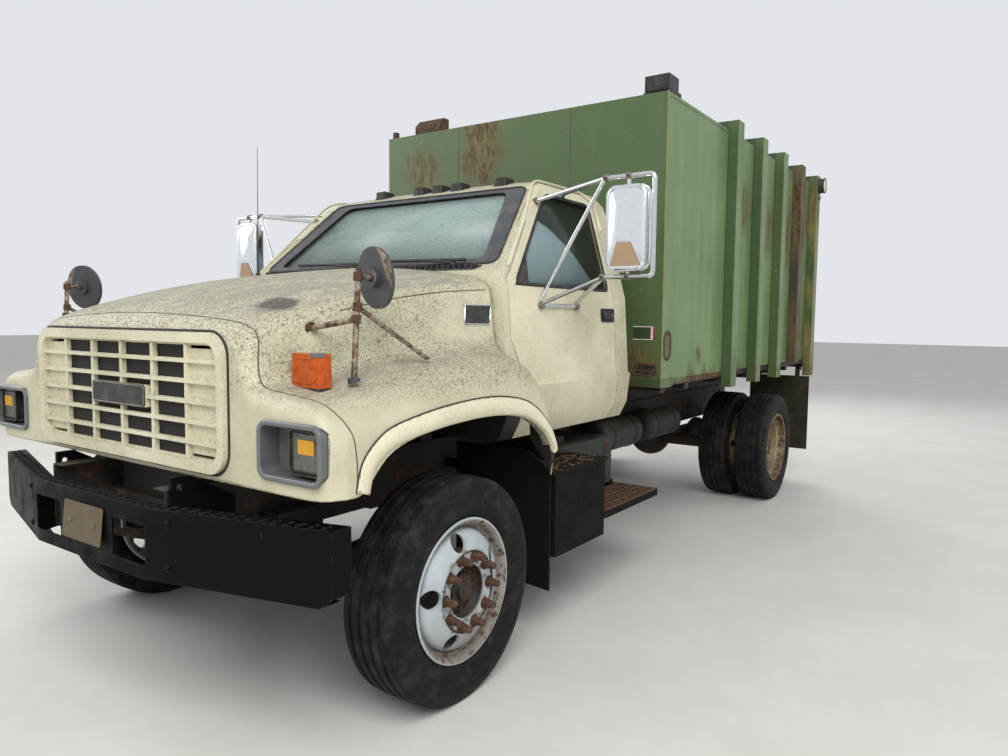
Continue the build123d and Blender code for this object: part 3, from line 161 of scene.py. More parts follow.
class Shape:
    """Faces gathered for one piece. Each face keeps the number of its material."""

    def __init__(self):
        self.points = []
        self.faces = []
        self.finish = []

    def add(self, points, faces, finish=0):
        start = len(self.points)
        self.points += [Vector(p) for p in points]
        self.faces += [[start + i for i in face] for face in faces]
        self.finish += [finish] * len(faces)

    def rows(self, rows, finish=0, closed=False, capped=False):
        """Quads between rows of points; closed joins a row's two ends, capped fills the outer rows."""
        width = len(rows[0])
        faces = []
        for r in range(len(rows) - 1):
            near, far = r * width, (r + 1) * width
            for c in range(width if closed else width - 1):
                on = (c + 1) % width
                faces.append((near + c, near + on, far + on, far + c))
        if capped:
            last = (len(rows) - 1) * width
            faces += [tuple(reversed(range(width))), tuple(range(last, last + width))]
        self.add([p for row in rows for p in row], faces, finish)

    def box(self, low, high, finish=0):
        """A block between two opposite corners."""
        xs, ys, zs = zip(low, high)
        points = [(x, y, z) for x in xs for y in ys for z in zs]
        faces = [(0, 1, 3, 2), (4, 6, 7, 5), (0, 4, 5, 1), (2, 3, 7, 6), (0, 2, 6, 4), (1, 5, 7, 3)]
        self.add(points, faces, finish)

    def tube(self, path, radius, sides=10, finish=0):
        """A round bar along a path; radius may be one value or one for each point."""
        path = [Vector(p) for p in path]
        last = len(path) - 1
        radii = [radius] * len(path) if isinstance(radius, (int, float)) else radius
        rings = []
        side = None
        for i, point in enumerate(path):
            run = (path[min(i + 1, last)] - path[max(i - 1, 0)]).normalized()
            if side is None:
                side = run.orthogonal().normalized()
            side = (side - run * side.dot(run)).normalized()
            up = run.cross(side)
            rings.append([
                point + radii[i] * (side * math.cos(a) + up * math.sin(a))
                for a in (2 * math.pi * k / sides for k in range(sides))
            ])
        self.rows(rings, finish, closed=True, capped=True)

    def stud(self, spot, low, high, radius, sides=12, finish=0):
        """A short straight bar between two steps from a spot."""
        self.tube([spot + Vector(low), spot + Vector(high)], radius, sides, finish)

    def bead(self, path, normals, width, height, finish=0, closed=False):
        """A low strip along a path; normals is one vector, or one for each point."""
        path = [Vector(p) for p in path]
        count = len(path)
        many = normals if isinstance(normals, list) else [Vector(normals)] * count
        rows = []
        for i, point in enumerate(path):
            before = path[i - 1] if (i or closed) else point
            after = path[(i + 1) % count] if (i < count - 1 or closed) else point
            across = (after - before).cross(many[i]).normalized()
            rows.append([
                point + across * (u * width / 2) + many[i] * (v * height)
                for u, v in ((-1, -0.5), (-1, 0.4), (-0.5, 1.0), (0.5, 1.0), (1, 0.4), (1, -0.5))
            ])
        if closed:
            rows.append(rows[0])
        self.rows(rows, finish, closed=True, capped=not closed)

    def turn(self, profile, centre, sides=64, finish=0, axis="X", dent=None):
        """A ring turned about an axis. Profile rows are offset along the axis and radius."""
        rings = []
        for k in range(sides):
            angle = 2 * math.pi * k / sides
            ring = []
            for i, (offset, radius) in enumerate(profile):
                if dent:
                    radius -= dent(i, k)
                u, v = radius * math.cos(angle), radius * math.sin(angle)
                ring.append(Vector(centre) + {
                    "X": Vector((offset, u, v)), "Y": Vector((u, offset, v)), "Z": Vector((u, v, offset))
                }[axis])
            rings.append(ring)
        self.rows(rings + [rings[0]], finish)

    def plate(self, outline, depth, place, finish=0):
        """An outline of pairs given depth; place(u, v, w) says where a point lies."""
        count = len(outline)
        points = [place(u, v, w) for w in depth for u, v in outline]
        faces = [tuple(range(count)), tuple(reversed(range(count, 2 * count)))]
        faces += [(i, count + i, count + (i + 1) % count, (i + 1) % count) for i in range(count)]
        self.add(points, faces, finish)

    def frame_ring(self, outlines, finish=0):
        """A closed band through several outlines with equal numbers of points."""
        self.rows([list(o) for o in outlines] + [list(outlines[0])], finish, closed=True)

    def both_sides(self):
        """Adds the same faces on the other side of the truck."""
        count = len(self.points)
        self.points += [Vector((-p.x, p.y, p.z)) for p in self.points]
        self.faces += [[count + i for i in reversed(face)] for face in list(self.faces)]
        self.finish += list(self.finish)
        return self

    def piece(self, name, body, finishes, slot=None, replaces=(), bevel=0.0, angle=38, subdivide=0,
              merge=1e-5, shell=0.0, shell_finish=0, segments=2):
        """The finished object, riding on its body."""
        mesh = bpy.data.meshes.new(name)
        mesh.from_pydata(self.points, [], self.faces)
        mesh.polygons.foreach_set("material_index", self.finish)
        tidy = bmesh.new()
        tidy.from_mesh(mesh)
        bmesh.ops.remove_doubles(tidy, verts=tidy.verts, dist=merge)
        bmesh.ops.dissolve_degenerate(tidy, edges=tidy.edges, dist=merge)
        bmesh.ops.recalc_face_normals(tidy, faces=tidy.faces)
        tidy.to_mesh(mesh)
        tidy.free()
        for finish in finishes:
            mesh.materials.append(finish)
        mesh.shade_smooth()
        obj = bpy.data.objects.new(name, mesh)
        bpy.context.scene.collection.objects.link(obj)
        if subdivide:
            smooth = obj.modifiers.new("smooth", "SUBSURF")
            smooth.levels = smooth.render_levels = subdivide
        else:
            mesh.set_sharp_from_angle(angle=math.radians(angle))
        if shell:
            skin = obj.modifiers.new("skin", "SOLIDIFY")
            skin.thickness = shell
            skin.offset = -1
            skin.material_offset = shell_finish
            skin.use_even_offset = False
        if bevel:
            soften(obj, bevel, angle, segments)
        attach(obj, body)
        if replaces:
            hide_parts(*replaces)
        return obj


def soften(obj, width, angle=38, segments=2):
    """Rounds the edges that are sharper than the angle."""
    edge = obj.modifiers.new("edge", "BEVEL")
    edge.width = width
    edge.segments = segments
    edge.limit_method = "ANGLE"
    edge.angle_limit = math.radians(angle)
    edge.harden_normals = True
    edge.use_clamp_overlap = True


def settle(obj):
    """Replaces the object's mesh by what its modifiers make of it."""
    seen = obj.evaluated_get(bpy.context.evaluated_depsgraph_get())
    mesh = bpy.data.meshes.new_from_object(seen)
    obj.modifiers.clear()
    obj.data = mesh
    return obj


def cut(obj, cutter):
    """Takes the cutter's shape out of the object and deletes the cutter."""
    saw = obj.modifiers.new("saw", "BOOLEAN")
    saw.object = cutter
    saw.operation = "DIFFERENCE"
    saw.solver = "EXACT"
    bpy.context.view_layer.update()
    settle(obj)
    bpy.data.objects.remove(cutter)
    return obj


def surface_of(obj):
    """A function that gives the nearest surface point and normal."""
    seen = obj.evaluated_get(bpy.context.evaluated_depsgraph_get())
    mesh = seen.to_mesh()
    corners = [v.co.copy() for v in mesh.vertices]
    tree = BVHTree.FromPolygons(corners, [tuple(p.vertices) for p in mesh.polygons])
    seen.to_mesh_clear()
    return lambda point: tree.find_nearest(point)[:2]


# Materials

def colour(*levels):
    """A colour written as it shows on screen: red, green and blue from 0 to 255."""
    return tuple(((c / 255 + 0.055) / 1.055) ** 2.4 if c > 10 else c / 3295 for c in levels) + (1.0,)


def scaled(tone, factor):
    """The colour, lighter or darker by a factor."""
    return tuple(factor * c for c in tone[:3]) + (1.0,)


class Paint:
    """A material built from nodes, one named field at a time."""

    def __init__(self, name, roughness=0.6, metallic=0.0, specular=0.5):
        self.material = bpy.data.materials.new(name)
        self.material.use_nodes = True
        self.tree = self.material.node_tree
        self.shader = self.tree.nodes["Principled BSDF"]
        self.shader.inputs["Roughness"].default_value = roughness
        self.shader.inputs["Metallic"].default_value = metallic
        self.shader.inputs["Specular IOR Level"].default_value = specular
        source = self.node("ShaderNodeTexCoord")
        self.place = source.outputs["Object"]
        self.facing = source.outputs["Normal"]

    def node(self, kind, **settings):
        made = self.tree.nodes.new(kind)
        for key, value in settings.items():
            setattr(made, key, value)
        return made

    def set(self, socket, value):
        if isinstance(value, bpy.types.NodeSocket):
            self.tree.links.new(value, socket)
        else:
            socket.default_value = value

    def math(self, operation, first, second=0.0, clamp=False):
        made = self.node("ShaderNodeMath", operation=operation, use_clamp=clamp)
        self.set(made.inputs[0], first)
        self.set(made.inputs[1], second)
        return made.outputs[0]

    def times(self, *values):
        result = values[0]
        for value in values[1:]:
            result = self.math("MULTIPLY", result, value)
        return result

    def plus(self, *values):
        result = values[0]
        for value in values[1:]:
            result = self.math("ADD", result, value)
        return result

    def most(self, *values):
        result = values[0]
        for value in values[1:]:
            result = self.math("MAXIMUM", result, value)
        return result

    def away(self, value):
        return self.math("SUBTRACT", 1.0, value, clamp=True)

    def split(self, vector, part):
        made = self.node("ShaderNodeSeparateXYZ")
        self.set(made.inputs[0], vector)
        return made.outputs[part]

    def where(self, part):
        """The x, y or z of the place, in metres."""
        return self.split(self.place, part)

    def beyond(self, part, low, high):
        """0 to 1 along the truck's x, y or z."""
        return self.rise(self.where(part), low, high)

    def faces(self, part, low, high):
        """0 to 1 as the surface turns towards x, y or z."""
        return self.rise(self.split(self.facing, part), low, high)

    def noise(self, scale, detail=4.0, roughness=0.6, stretch=None):
        made = self.node("ShaderNodeTexNoise")
        place = self.place
        if stretch:
            mapping = self.node("ShaderNodeMapping")
            self.set(mapping.inputs["Vector"], self.place)
            mapping.inputs["Scale"].default_value = stretch
            place = mapping.outputs[0]
        self.set(made.inputs["Vector"], place)
        made.inputs["Scale"].default_value = scale
        made.inputs["Detail"].default_value = detail
        made.inputs["Roughness"].default_value = roughness
        return made.outputs["Fac"]

    def patch(self, scale, detail, roughness, low, high, stretch=None):
        """Blotches of noise, 0 below low and 1 above high."""
        return self.rise(self.noise(scale, detail, roughness, stretch), low, high)

    def grain(self, scale):
        """The small cells of a leather grain."""
        made = self.node("ShaderNodeTexVoronoi")
        self.set(made.inputs["Vector"], self.place)
        made.inputs["Scale"].default_value = scale
        return made.outputs["Distance"]

    def bands(self, part, scale):
        """Even bands across x or z."""
        made = self.node("ShaderNodeTexWave", wave_type="BANDS", bands_direction=part)
        self.set(made.inputs["Vector"], self.place)
        made.inputs["Scale"].default_value = scale
        return made

    def rise(self, value, low, high):
        """0 below low, 1 above high, smooth between; low may be the larger."""
        made = self.node("ShaderNodeMapRange", interpolation_type="SMOOTHSTEP")
        self.set(made.inputs["Value"], value)
        flip = low > high
        made.inputs["From Min"].default_value = min(low, high)
        made.inputs["From Max"].default_value = max(low, high)
        made.inputs["To Min"].default_value = float(flip)
        made.inputs["To Max"].default_value = float(not flip)
        return made.outputs[0]

    def near(self, centre, reach, fade, ragged=0.0, scale=14.0):
        """1 inside a ball round the centre, with a ragged edge."""
        made = self.node("ShaderNodeVectorMath", operation="DISTANCE")
        self.set(made.inputs[0], self.place)
        made.inputs[1].default_value = centre
        distance = made.outputs["Value"]
        if ragged:
            distance = self.plus(distance, self.times(self.noise(scale, 5.0), ragged), -ragged / 2)
        return self.rise(distance, reach + fade, reach)

    def mix(self, share, first, second):
        made = self.node("ShaderNodeMix", data_type="RGBA")
        self.set(made.inputs["Factor"], share)
        self.set(made.inputs["A"], first)
        self.set(made.inputs["B"], second)
        return made.outputs["Result"]

    def edges(self, radius=0.006, low=0.03, high=0.25):
        """1 close to the piece's sharp edges."""
        rounded = self.node("ShaderNodeBevel", samples=4)
        rounded.inputs["Radius"].default_value = radius
        plain = self.node("ShaderNodeNewGeometry")
        dot = self.node("ShaderNodeVectorMath", operation="DOT_PRODUCT")
        self.set(dot.inputs[0], rounded.outputs[0])
        self.set(dot.inputs[1], plain.outputs["True Normal"])
        return self.rise(self.away(dot.outputs["Value"]), low, high)

    def done(self, base, roughness=None, bump=None, depth=0.001, strength=1.0):
        self.set(self.shader.inputs["Base Color"], base)
        if roughness is not None:
            self.set(self.shader.inputs["Roughness"], roughness)
        if bump is not None:
            made = self.node("ShaderNodeBump")
            made.inputs["Distance"].default_value = depth
            made.inputs["Strength"].default_value = strength
            self.set(made.inputs["Height"], bump)
            self.set(self.shader.inputs["Normal"], made.outputs[0])
        return self.material


RUST_DARK = colour(52, 35, 24)
RUST = colour(98, 66, 42)
RUST_LIGHT = colour(140, 98, 62)


def rust_tone(p):
    """Rust that varies from dark brown to orange."""
    mottle = p.noise(38.0, 6.0, 0.7)
    return p.mix(p.rise(mottle, 0.38, 0.68), RUST_DARK, p.mix(p.rise(mottle, 0.55, 0.8), RUST, RUST_LIGHT))


def cream_paint(name, mould=1.0, top_grime=0.0, peel=None, light=(220, 214, 186), dull=(205, 199, 168),
                runs=False, arch=False, chipped=(86, 76, 58)):
    """Cream paint with black mould specks, denser where the surface faces up; it can also carry painted shade
    inside the wheel arch and on faces that look down.
    """
    p = Paint(name, roughness=0.5)
    up = p.faces("Z", 0.1, 0.95)
    broad = p.noise(2.6)
    base = p.mix(p.rise(broad, 0.3, 0.7), colour(*light), colour(*dull))
    base = p.mix(p.times(up, 0.34 * mould), base, colour(152, 148, 126))
    film = p.times(p.patch(9.0, 6.0, 0.72, 0.40, 0.72), 0.5 * mould)
    base = p.mix(film, base, colour(176, 170, 142))
    cover = p.plus(p.times(broad, 0.6), p.times(up, 0.30), p.times(p.noise(11.0, 3.0), 0.35))
    cover = p.rise(cover, 0.26, 0.60)
    if runs:
        above = p.rise(p.plus(p.where("Z"), p.times(broad, 0.10)), 1.27, 1.41)
        cover = p.times(cover, p.plus(0.10, p.times(0.90, above)))
    fine = p.patch(150.0, 4.0, 0.75, 0.50, 0.60)
    coarse = p.patch(66.0, 5.0, 0.7, 0.545, 0.63)
    specks = p.times(p.most(fine, coarse), cover, mould)
    base = p.mix(p.times(specks, 0.78), base, colour(72, 70, 52))
    pits = p.times(p.patch(31.0, 3.0, 0.5, 0.70, 0.74), p.rise(broad, 0.40, 0.6), mould)
    base = p.mix(p.times(pits, 0.8), base, colour(38, 34, 26))
    if top_grime:
        crown = p.faces("Z", 0.80, 0.985)
        streaks = p.noise(7.0, 6.0, 0.65, (2.6, 0.55, 1.0))
        worn = p.patch(24.0, 6.0, 0.75, 0.36, 0.66, (1.0, 0.4, 1.0))
        cloud = p.rise(p.plus(p.times(streaks, 0.75), p.times(worn, 0.3)), 0.36, 0.66)
        base = p.mix(p.times(cloud, crown, top_grime), base, colour(142, 135, 121))
        dark = p.times(p.patch(85.0, 5.0, 0.8, 0.50, 0.70), crown, p.rise(streaks, 0.40, 0.62))
        base = p.mix(p.times(dark, 0.5), base, colour(88, 80, 70))
    if peel:
        base = p.mix(p.times(p.near(*peel), p.patch(60.0, 5.0, 0.7, 0.30, 0.46)), base, colour(70, 62, 56))
    if runs:
        ahead = p.times(p.faces("Y", -0.5, -0.8), p.beyond("Z", 1.40, 1.48))
        streak = p.patch(34.0, 5.0, 0.7, 0.54, 0.68, (1.0, 1.0, 0.12))
        base = p.mix(p.times(ahead, streak, 0.5), base, colour(120, 98, 66))
    # Painted shade: the cab ahead of the door and below the fender, and every face that looks down, turn
    # almost black as if in the shade of the wheel arch and of the parts above.
    if arch:
        arch_shade = p.times(p.beyond("Y", FRONT_AXLE_Y + 0.665, FRONT_AXLE_Y + 0.645), p.beyond("Z", 1.31, 1.29))
        base = p.mix(p.most(arch_shade, p.faces("Z", -0.5, -0.8)), base, colour(26, 24, 20))
    chips = p.times(p.edges(0.008), p.patch(48.0, 4.0, 0.7, 0.50, 0.60))
    base = p.mix(p.times(chips, 0.7), base, colour(*chipped))
    rough = p.plus(0.42, p.times(specks, 0.35), p.times(film, 0.2))
    return p.done(base, rough, p.plus(p.times(specks, -0.6), p.times(p.noise(300.0, 2.0), 0.3)), 0.0006)


def green_paint(name, base_light, base_dark, rust_edge=0.5, stains=(), yellow_from=None,
                yellow=(136, 120, 66), brown=None):
    """Weathered green paint with streaks running down and rust along its edges, and painted shade on the
    faces that look forward.
    """
    p = Paint(name, roughness=0.55)
    streaks = p.noise(9.0, 5.0, 0.6, (1.0, 1.0, 0.10))
    broad = p.noise(1.6)
    fade = p.plus(p.times(streaks, 0.5), p.times(broad, 0.5))
    base = p.mix(p.rise(fade, 0.38, 0.64), base_dark, base_light)
    # Painted shade: faces that look forward along the truck turn much darker and take less chalk, as if
    # turned away from the light.
    front = p.faces("Y", -0.55, -0.95)
    shade = tuple(c * s for c, s in zip(base_dark, (0.36, 0.41, 0.31))) + (1.0,)
    base = p.mix(p.times(front, 0.85), base, shade)
    chalk = p.times(p.patch(26.0, 5.0, 0.65, 0.55, 0.75, (1.0, 1.0, 0.06)), 0.20, p.away(p.times(front, 0.8)))
    base = p.mix(chalk, base, colour(150, 165, 124))
    grime = p.times(p.patch(17.0, 6.0, 0.7, 0.56, 0.80, (1.0, 1.0, 0.25)), 0.45)
    base = p.mix(grime, base, colour(78, 82, 52))
    if yellow_from:
        patches = p.patch(5.0, 5.0, 0.65, 0.40, 0.62, (1.0, 1.0, 0.35))
        base = p.mix(p.times(p.beyond("Y", *yellow_from), patches, 0.75), base, colour(*yellow))
    if brown:
        spread = p.times(p.beyond("Y", brown[0] - 0.02, brown[0]), p.beyond("Y", brown[1] + 0.02, brown[1]))
        worn = p.patch(9.0, 6.0, 0.7, 0.26, 0.48, (1.0, 1.0, 0.4))
        base = p.mix(p.times(spread, worn, 0.9), base, colour(58, 46, 36))
    flecks = p.times(p.patch(55.0, 3.0, 0.6, 0.69, 0.73), p.patch(5.0, 3.0, 0.6, 0.45, 0.6))
    base = p.mix(p.times(flecks, 0.8), base, colour(196, 202, 184))
    pits = p.patch(36.0, 3.0, 0.6, 0.715, 0.74, (1.0, 1.0, 0.7))
    base = p.mix(pits, base, colour(58, 46, 28))
    rust = p.times(p.edges(0.018, 0.01, 0.2), p.patch(13.0, 6.0, 0.75, 0.60 - 0.2 * rust_edge, 0.62))
    foot = p.times(p.beyond("Z", 1.33, 1.21), p.patch(8.0, 6.0, 0.7, 0.46, 0.60, (1.0, 1.0, 0.6)))
    rust = p.most(rust, p.times(foot, rust_edge))
    for centre, reach, fade, ragged, strength in stains:
        mark = p.near(centre, reach, fade, ragged, 6.0)
        broken = p.patch(19.0, 6.0, 0.75, 0.36, 0.62, (1.0, 1.0, 0.3))
        base = p.mix(p.times(mark, 0.62 * strength), base, colour(112, 100, 52))
        rust = p.most(rust, p.times(mark, broken, strength))
    base = p.mix(rust, base, rust_tone(p))
    rough = p.plus(0.45, p.times(rust, 0.4), p.times(grime, 0.3))
    return p.done(base, rough, p.plus(p.times(rust, 0.8), p.times(p.noise(120.0), 0.25)), 0.0012)


def dark_steel(name, base, rust, dust, rust_scale=7.0):
    """Dark paint over steel, with rust patches and pale dust on what faces up."""
    p = Paint(name, roughness=0.65)
    blotch = p.noise(rust_scale, 7.0, 0.72)
    tone = p.mix(p.noise(24.0, 5.0), base, scaled(base, 1.5))
    marks = p.rise(blotch, 0.66 - 0.28 * rust, 0.74 - 0.22 * rust)
    tone = p.mix(p.times(marks, min(1.0, rust * 1.3)), tone, rust_tone(p))
    settled = p.times(p.faces("Z", 0.3, 0.95), p.patch(19.0, 6.0, 0.7, 0.30, 0.66), dust)
    tone = p.mix(settled, tone, colour(118, 106, 86))
    worn = p.times(p.edges(0.005), p.patch(50.0, 4.0, 0.6, 0.46, 0.60))
    tone = p.mix(p.times(worn, 0.55), tone, colour(112, 104, 94))
    rough = p.plus(0.55, p.times(marks, 0.3))
    return p.done(tone, rough, p.plus(marks, p.noise(90.0, 5.0)), 0.0012, 0.7)


def bare_rust(name):
    """Steel that is rust all over."""
    p = Paint(name, roughness=0.85)
    tone = p.mix(p.patch(110.0, 6.0, 0.7, 0.4, 0.7), rust_tone(p), colour(92, 66, 54))
    return p.done(tone, None, p.noise(140.0, 6.0, 0.75), 0.0016)


def black_paint(name, base, scuffs=0.5, gloss=0.38):
    """Black paint, scuffed to grey, with dried splashes."""
    p = Paint(name, roughness=gloss, specular=0.1)
    scratch = p.patch(46.0, 6.0, 0.8, 0.64, 0.78, (0.35, 1.0, 1.6))
    haze = p.patch(7.0, 6.0, 0.7, 0.42, 0.75)
    tone = p.mix(p.times(haze, 0.2), base, colour(24, 25, 26))
    tone = p.mix(p.times(scratch, scuffs), tone, colour(112, 112, 108))
    worn = p.times(p.edges(0.006), p.patch(60.0, 4.0, 0.7, 0.42, 0.58))
    tone = p.mix(p.times(worn, 0.5), tone, colour(96, 93, 88))
    rust = p.patch(21.0, 5.0, 0.7, 0.68, 0.74)
    tone = p.mix(p.times(rust, 0.6), tone, rust_tone(p))
    return p.done(tone, p.plus(gloss, p.times(haze, 0.3)), p.plus(scratch, p.noise(70.0, 5.0)), 0.0008, 0.6)


def rubber(name, base, dust):
    """Tyre or flap rubber, dusty and cracked."""
    p = Paint(name, roughness=0.8, specular=0.2)
    tone = p.mix(p.patch(5.0, 6.0, 0.7, 0.3, 0.7), base, scaled(base, 1.45))
    powder = p.times(p.patch(11.0, 7.0, 0.75, 0.44, 0.74), dust)
    tone = p.mix(powder, tone, colour(112, 106, 94))
    cracks = p.patch(130.0, 4.0, 0.8, 0.60, 0.70)
    tone = p.mix(p.times(cracks, 0.5), tone, colour(20, 20, 20))
    bump = p.plus(p.noise(220.0, 3.0), p.times(cracks, -0.6))
    return p.done(tone, p.plus(0.66, p.times(powder, 0.3)), bump, 0.0008)


def from_axis(p, centre):
    """Distance from a line across the truck through the centre, in metres."""
    y = p.math("SUBTRACT", p.where("Y"), centre.y)
    z = p.math("SUBTRACT", p.where("Z"), centre.z)
    return p.math("SQRT", p.plus(p.times(y, y), p.times(z, z)))


def rear_wheel_paint(name, centre, base, second):
    """Tan wheel that has rusted round its hub and along its rim."""
    rust_ring, flange = 0.19, 0.262
    p = Paint(name, roughness=0.5)
    radius = from_axis(p, centre)
    mottle = p.noise(34.0, 6.0, 0.75)
    tone = p.mix(p.patch(6.0, 5.0, 0.6, 0.36, 0.66), base, second)
    shade = p.rise(p.plus(p.where("Z"), p.times(p.noise(9.0), 0.12)), 0.46, 0.26)
    tone = p.mix(p.times(shade, 0.55), tone, colour(128, 116, 100))
    drips = p.times(p.patch(90.0, 5.0, 0.75, 0.60, 0.72), 0.55)
    tone = p.mix(drips, tone, colour(120, 98, 82))
    hub = p.times(p.rise(radius, rust_ring + 0.022, rust_ring - 0.010), p.rise(mottle, 0.38, 0.54))
    rim = p.times(p.rise(radius, flange - 0.012, flange + 0.004), p.rise(mottle, 0.36, 0.60))
    rust = p.most(hub, rim)
    tone = p.mix(rust, tone, rust_tone(p))
    return p.done(tone, p.plus(0.45, p.times(rust, 0.4)), p.plus(rust, p.times(drips, -0.4)), 0.001)


def front_wheel_paint(name, centre):
    """White wheel whose nuts, hub and inner rim have rusted."""
    p = Paint(name, roughness=0.42)
    radius = from_axis(p, centre)
    out = p.math("ABSOLUTE", p.where("X"))
    mottle = p.noise(30.0, 6.0, 0.75)
    tone = p.mix(p.patch(5.0, 4.0, 0.6, 0.36, 0.66), colour(180, 189, 193), colour(163, 171, 173))
    shade = p.rise(p.plus(p.where("Z"), p.times(p.noise(9.0), 0.10)), 0.47, 0.27)
    tone = p.mix(p.times(shade, 0.5), tone, colour(134, 127, 116))
    spots = p.times(p.patch(95.0, 5.0, 0.75, 0.63, 0.72), 0.5)
    tone = p.mix(spots, tone, colour(120, 98, 82))
    ring = p.times(p.rise(radius, 0.185, 0.168), p.rise(radius, 0.104, 0.112), p.rise(mottle, 0.50, 0.60))
    proud = p.rise(out, FRONT_WHEEL_X + 0.1225, FRONT_WHEEL_X + 0.1240)
    nuts = p.times(p.rise(radius, 0.172, 0.165), proud)
    hub = p.rise(radius, 0.112, 0.106)
    channel = p.times(p.rise(radius, 0.248, 0.254), p.rise(radius, 0.291, 0.287))
    tone = p.mix(p.times(channel, 0.75), tone, colour(118, 104, 86))
    rust = p.most(p.times(ring, 0.85), nuts, hub, p.times(channel, p.rise(mottle, 0.50, 0.62)))
    tone = p.mix(rust, tone, rust_tone(p))
    return p.done(tone, p.plus(0.40, p.times(rust, 0.45)), p.plus(rust, p.times(spots, -0.4)), 0.001)


def post_paint(name, tan, rim):
    """Rusty tan posts with dark plastic discs and black feet."""
    p = Paint(name, roughness=0.5)
    out = p.math("ABSOLUTE", p.where("X"))
    tone = p.mix(p.patch(28.0, 6.0, 0.75, 0.40, 0.60), tan, rust_tone(p))
    station = p.math("SUBTRACT", p.where("Y"), FRONT_AXLE_Y)
    disc = p.times(p.rise(station, -0.424, -0.420), p.beyond("Z", 1.58, 1.60))
    foot = p.times(p.beyond("Z", 1.362, 1.356), p.rise(out, 1.02, 1.03))
    back_foot = p.times(p.rise(station, -0.125, -0.115), p.beyond("Z", 1.435, 1.425))
    dark = p.mix(p.times(p.patch(16.0, 6.0, 0.7, 0.42, 0.74), 0.22), rim, colour(110, 108, 102))
    tone = p.mix(p.most(disc, back_foot, foot), tone, dark)
    return p.done(tone, None, p.noise(120.0), 0.0008)


def lamp_housing(name):
    """Black lamp boxes on the roof, the one on the right rusted through."""
    p = Paint(name, roughness=0.55)
    rusty = p.beyond("X", -0.5, -0.6)
    dust = p.times(p.patch(16.0, 6.0, 0.7, 0.42, 0.74), 0.4)
    plain = p.mix(dust, colour(34, 34, 36), colour(96, 90, 80))
    tone = p.mix(p.times(rusty, p.patch(20.0, 6.0, 0.7, 0.30, 0.52)), plain, rust_tone(p))
    return p.done(tone, p.plus(0.5, p.times(rusty, 0.3)), p.noise(110.0, 5.0), 0.001)


def shiny(name, base, roughness, metallic=1.0, dirt=0.3):
    """Bright or painted metal with a thin film of dirt."""
    p = Paint(name, roughness=roughness, metallic=metallic)
    film = p.times(p.patch(30.0, 6.0, 0.75, 0.46, 0.72), dirt)
    tone = p.mix(film, base, colour(96, 84, 66))
    return p.done(tone, p.plus(roughness, p.times(film, 0.6)), p.noise(160.0, 3.0), 0.0003)


def plastic(name, base, roughness=0.5, dirt=0.4):
    """Moulded plastic with dust in its grain."""
    p = Paint(name, roughness=roughness)
    dust = p.times(p.patch(16.0, 6.0, 0.7, 0.42, 0.74), dirt)
    tone = p.mix(dust, base, colour(120, 112, 96))
    return p.done(tone, p.plus(roughness, p.times(dust, 0.3)), p.noise(260.0, 3.0), 0.0006)


def glass(name, tint, dust, dust_tone, band=False, arc=False):
    """Tinted glass under dust; band shades its head, arc is the part of a door pane that stays pale."""
    p = Paint(name, roughness=0.04)
    p.shader.inputs["IOR"].default_value = 1.45
    grain = p.noise(95.0, 6.0, 0.8, (1.0, 1.0, 0.25))
    cloud = p.patch(3.0, 5.0, 0.6, 0.0, 0.5)
    film = p.times(p.plus(p.times(p.rise(grain, 0.30, 0.72), 0.5), p.times(cloud, 0.5)), dust)
    tone = p.mix(film, tint, dust_tone)
    if band:
        tone = p.mix(p.times(p.beyond("Z", 2.20, 2.27), 0.6), tone, colour(92, 92, 104))
    if arc:
        reach = p.plus(from_axis(p, at(0, 0.764, 1.257)), p.times(p.noise(9.0, 5.0), 0.03))
        pale = p.rise(reach, 0.885, 0.865)
        film = p.plus(0.45, p.times(film, 0.2), p.times(pale, 0.22))
        tone = p.mix(pale, colour(48, 62, 50), p.mix(grain, colour(128, 152, 156), colour(140, 160, 162)))
    p.set(p.shader.inputs["Transmission Weight"], p.away(film))
    return p.done(tone, p.plus(0.04, p.times(film, 0.5)), grain, 0.0002, 0.4)


def lens(name, base, glow=0.12):
    """A moulded lamp lens with upright flutes."""
    p = Paint(name, roughness=0.22)
    p.shader.inputs["Transmission Weight"].default_value = glow
    p.shader.inputs["Coat Weight"].default_value = 0.15
    wave = p.bands("X", 42.0)
    wave.inputs["Distortion"].default_value = 0.4
    tone = p.mix(p.patch(40.0, 5.0, 0.6, 0.4, 0.75), base, scaled(base, 0.55))
    return p.done(tone, None, wave.outputs["Fac"], 0.0015, 0.6)


def litter(name):
    """Dead leaves and dirt."""
    p = Paint(name, roughness=0.95)
    tone = p.mix(p.patch(60.0, 5.0, 0.8, 0.35, 0.65), colour(58, 42, 28), colour(128, 96, 62))
    return p.done(tone, None, p.noise(120.0, 5.0), 0.003)


def vinyl(name, base):
    """Grained seat covering, faded lighter in random blotches."""
    p = Paint(name, roughness=0.6)
    tone = p.mix(p.patch(5.0, 4.0, 0.6, 0.35, 0.7), base, scaled(base, 1.4))
    return p.done(tone, None, p.grain(420.0), 0.0006)


def shade_sheet_paint(name):
    """A near-black sheet with a woven bump, set among the grille bars: painted shade that fills the grille's
    openings.
    """
    p = Paint(name, roughness=0.7)
    weave = p.most(*(p.bands(part, 90.0).outputs["Fac"] for part in ("X", "Z")))
    return p.done(p.mix(weave, colour(8, 8, 8), colour(34, 34, 32)), None, weave, 0.002)


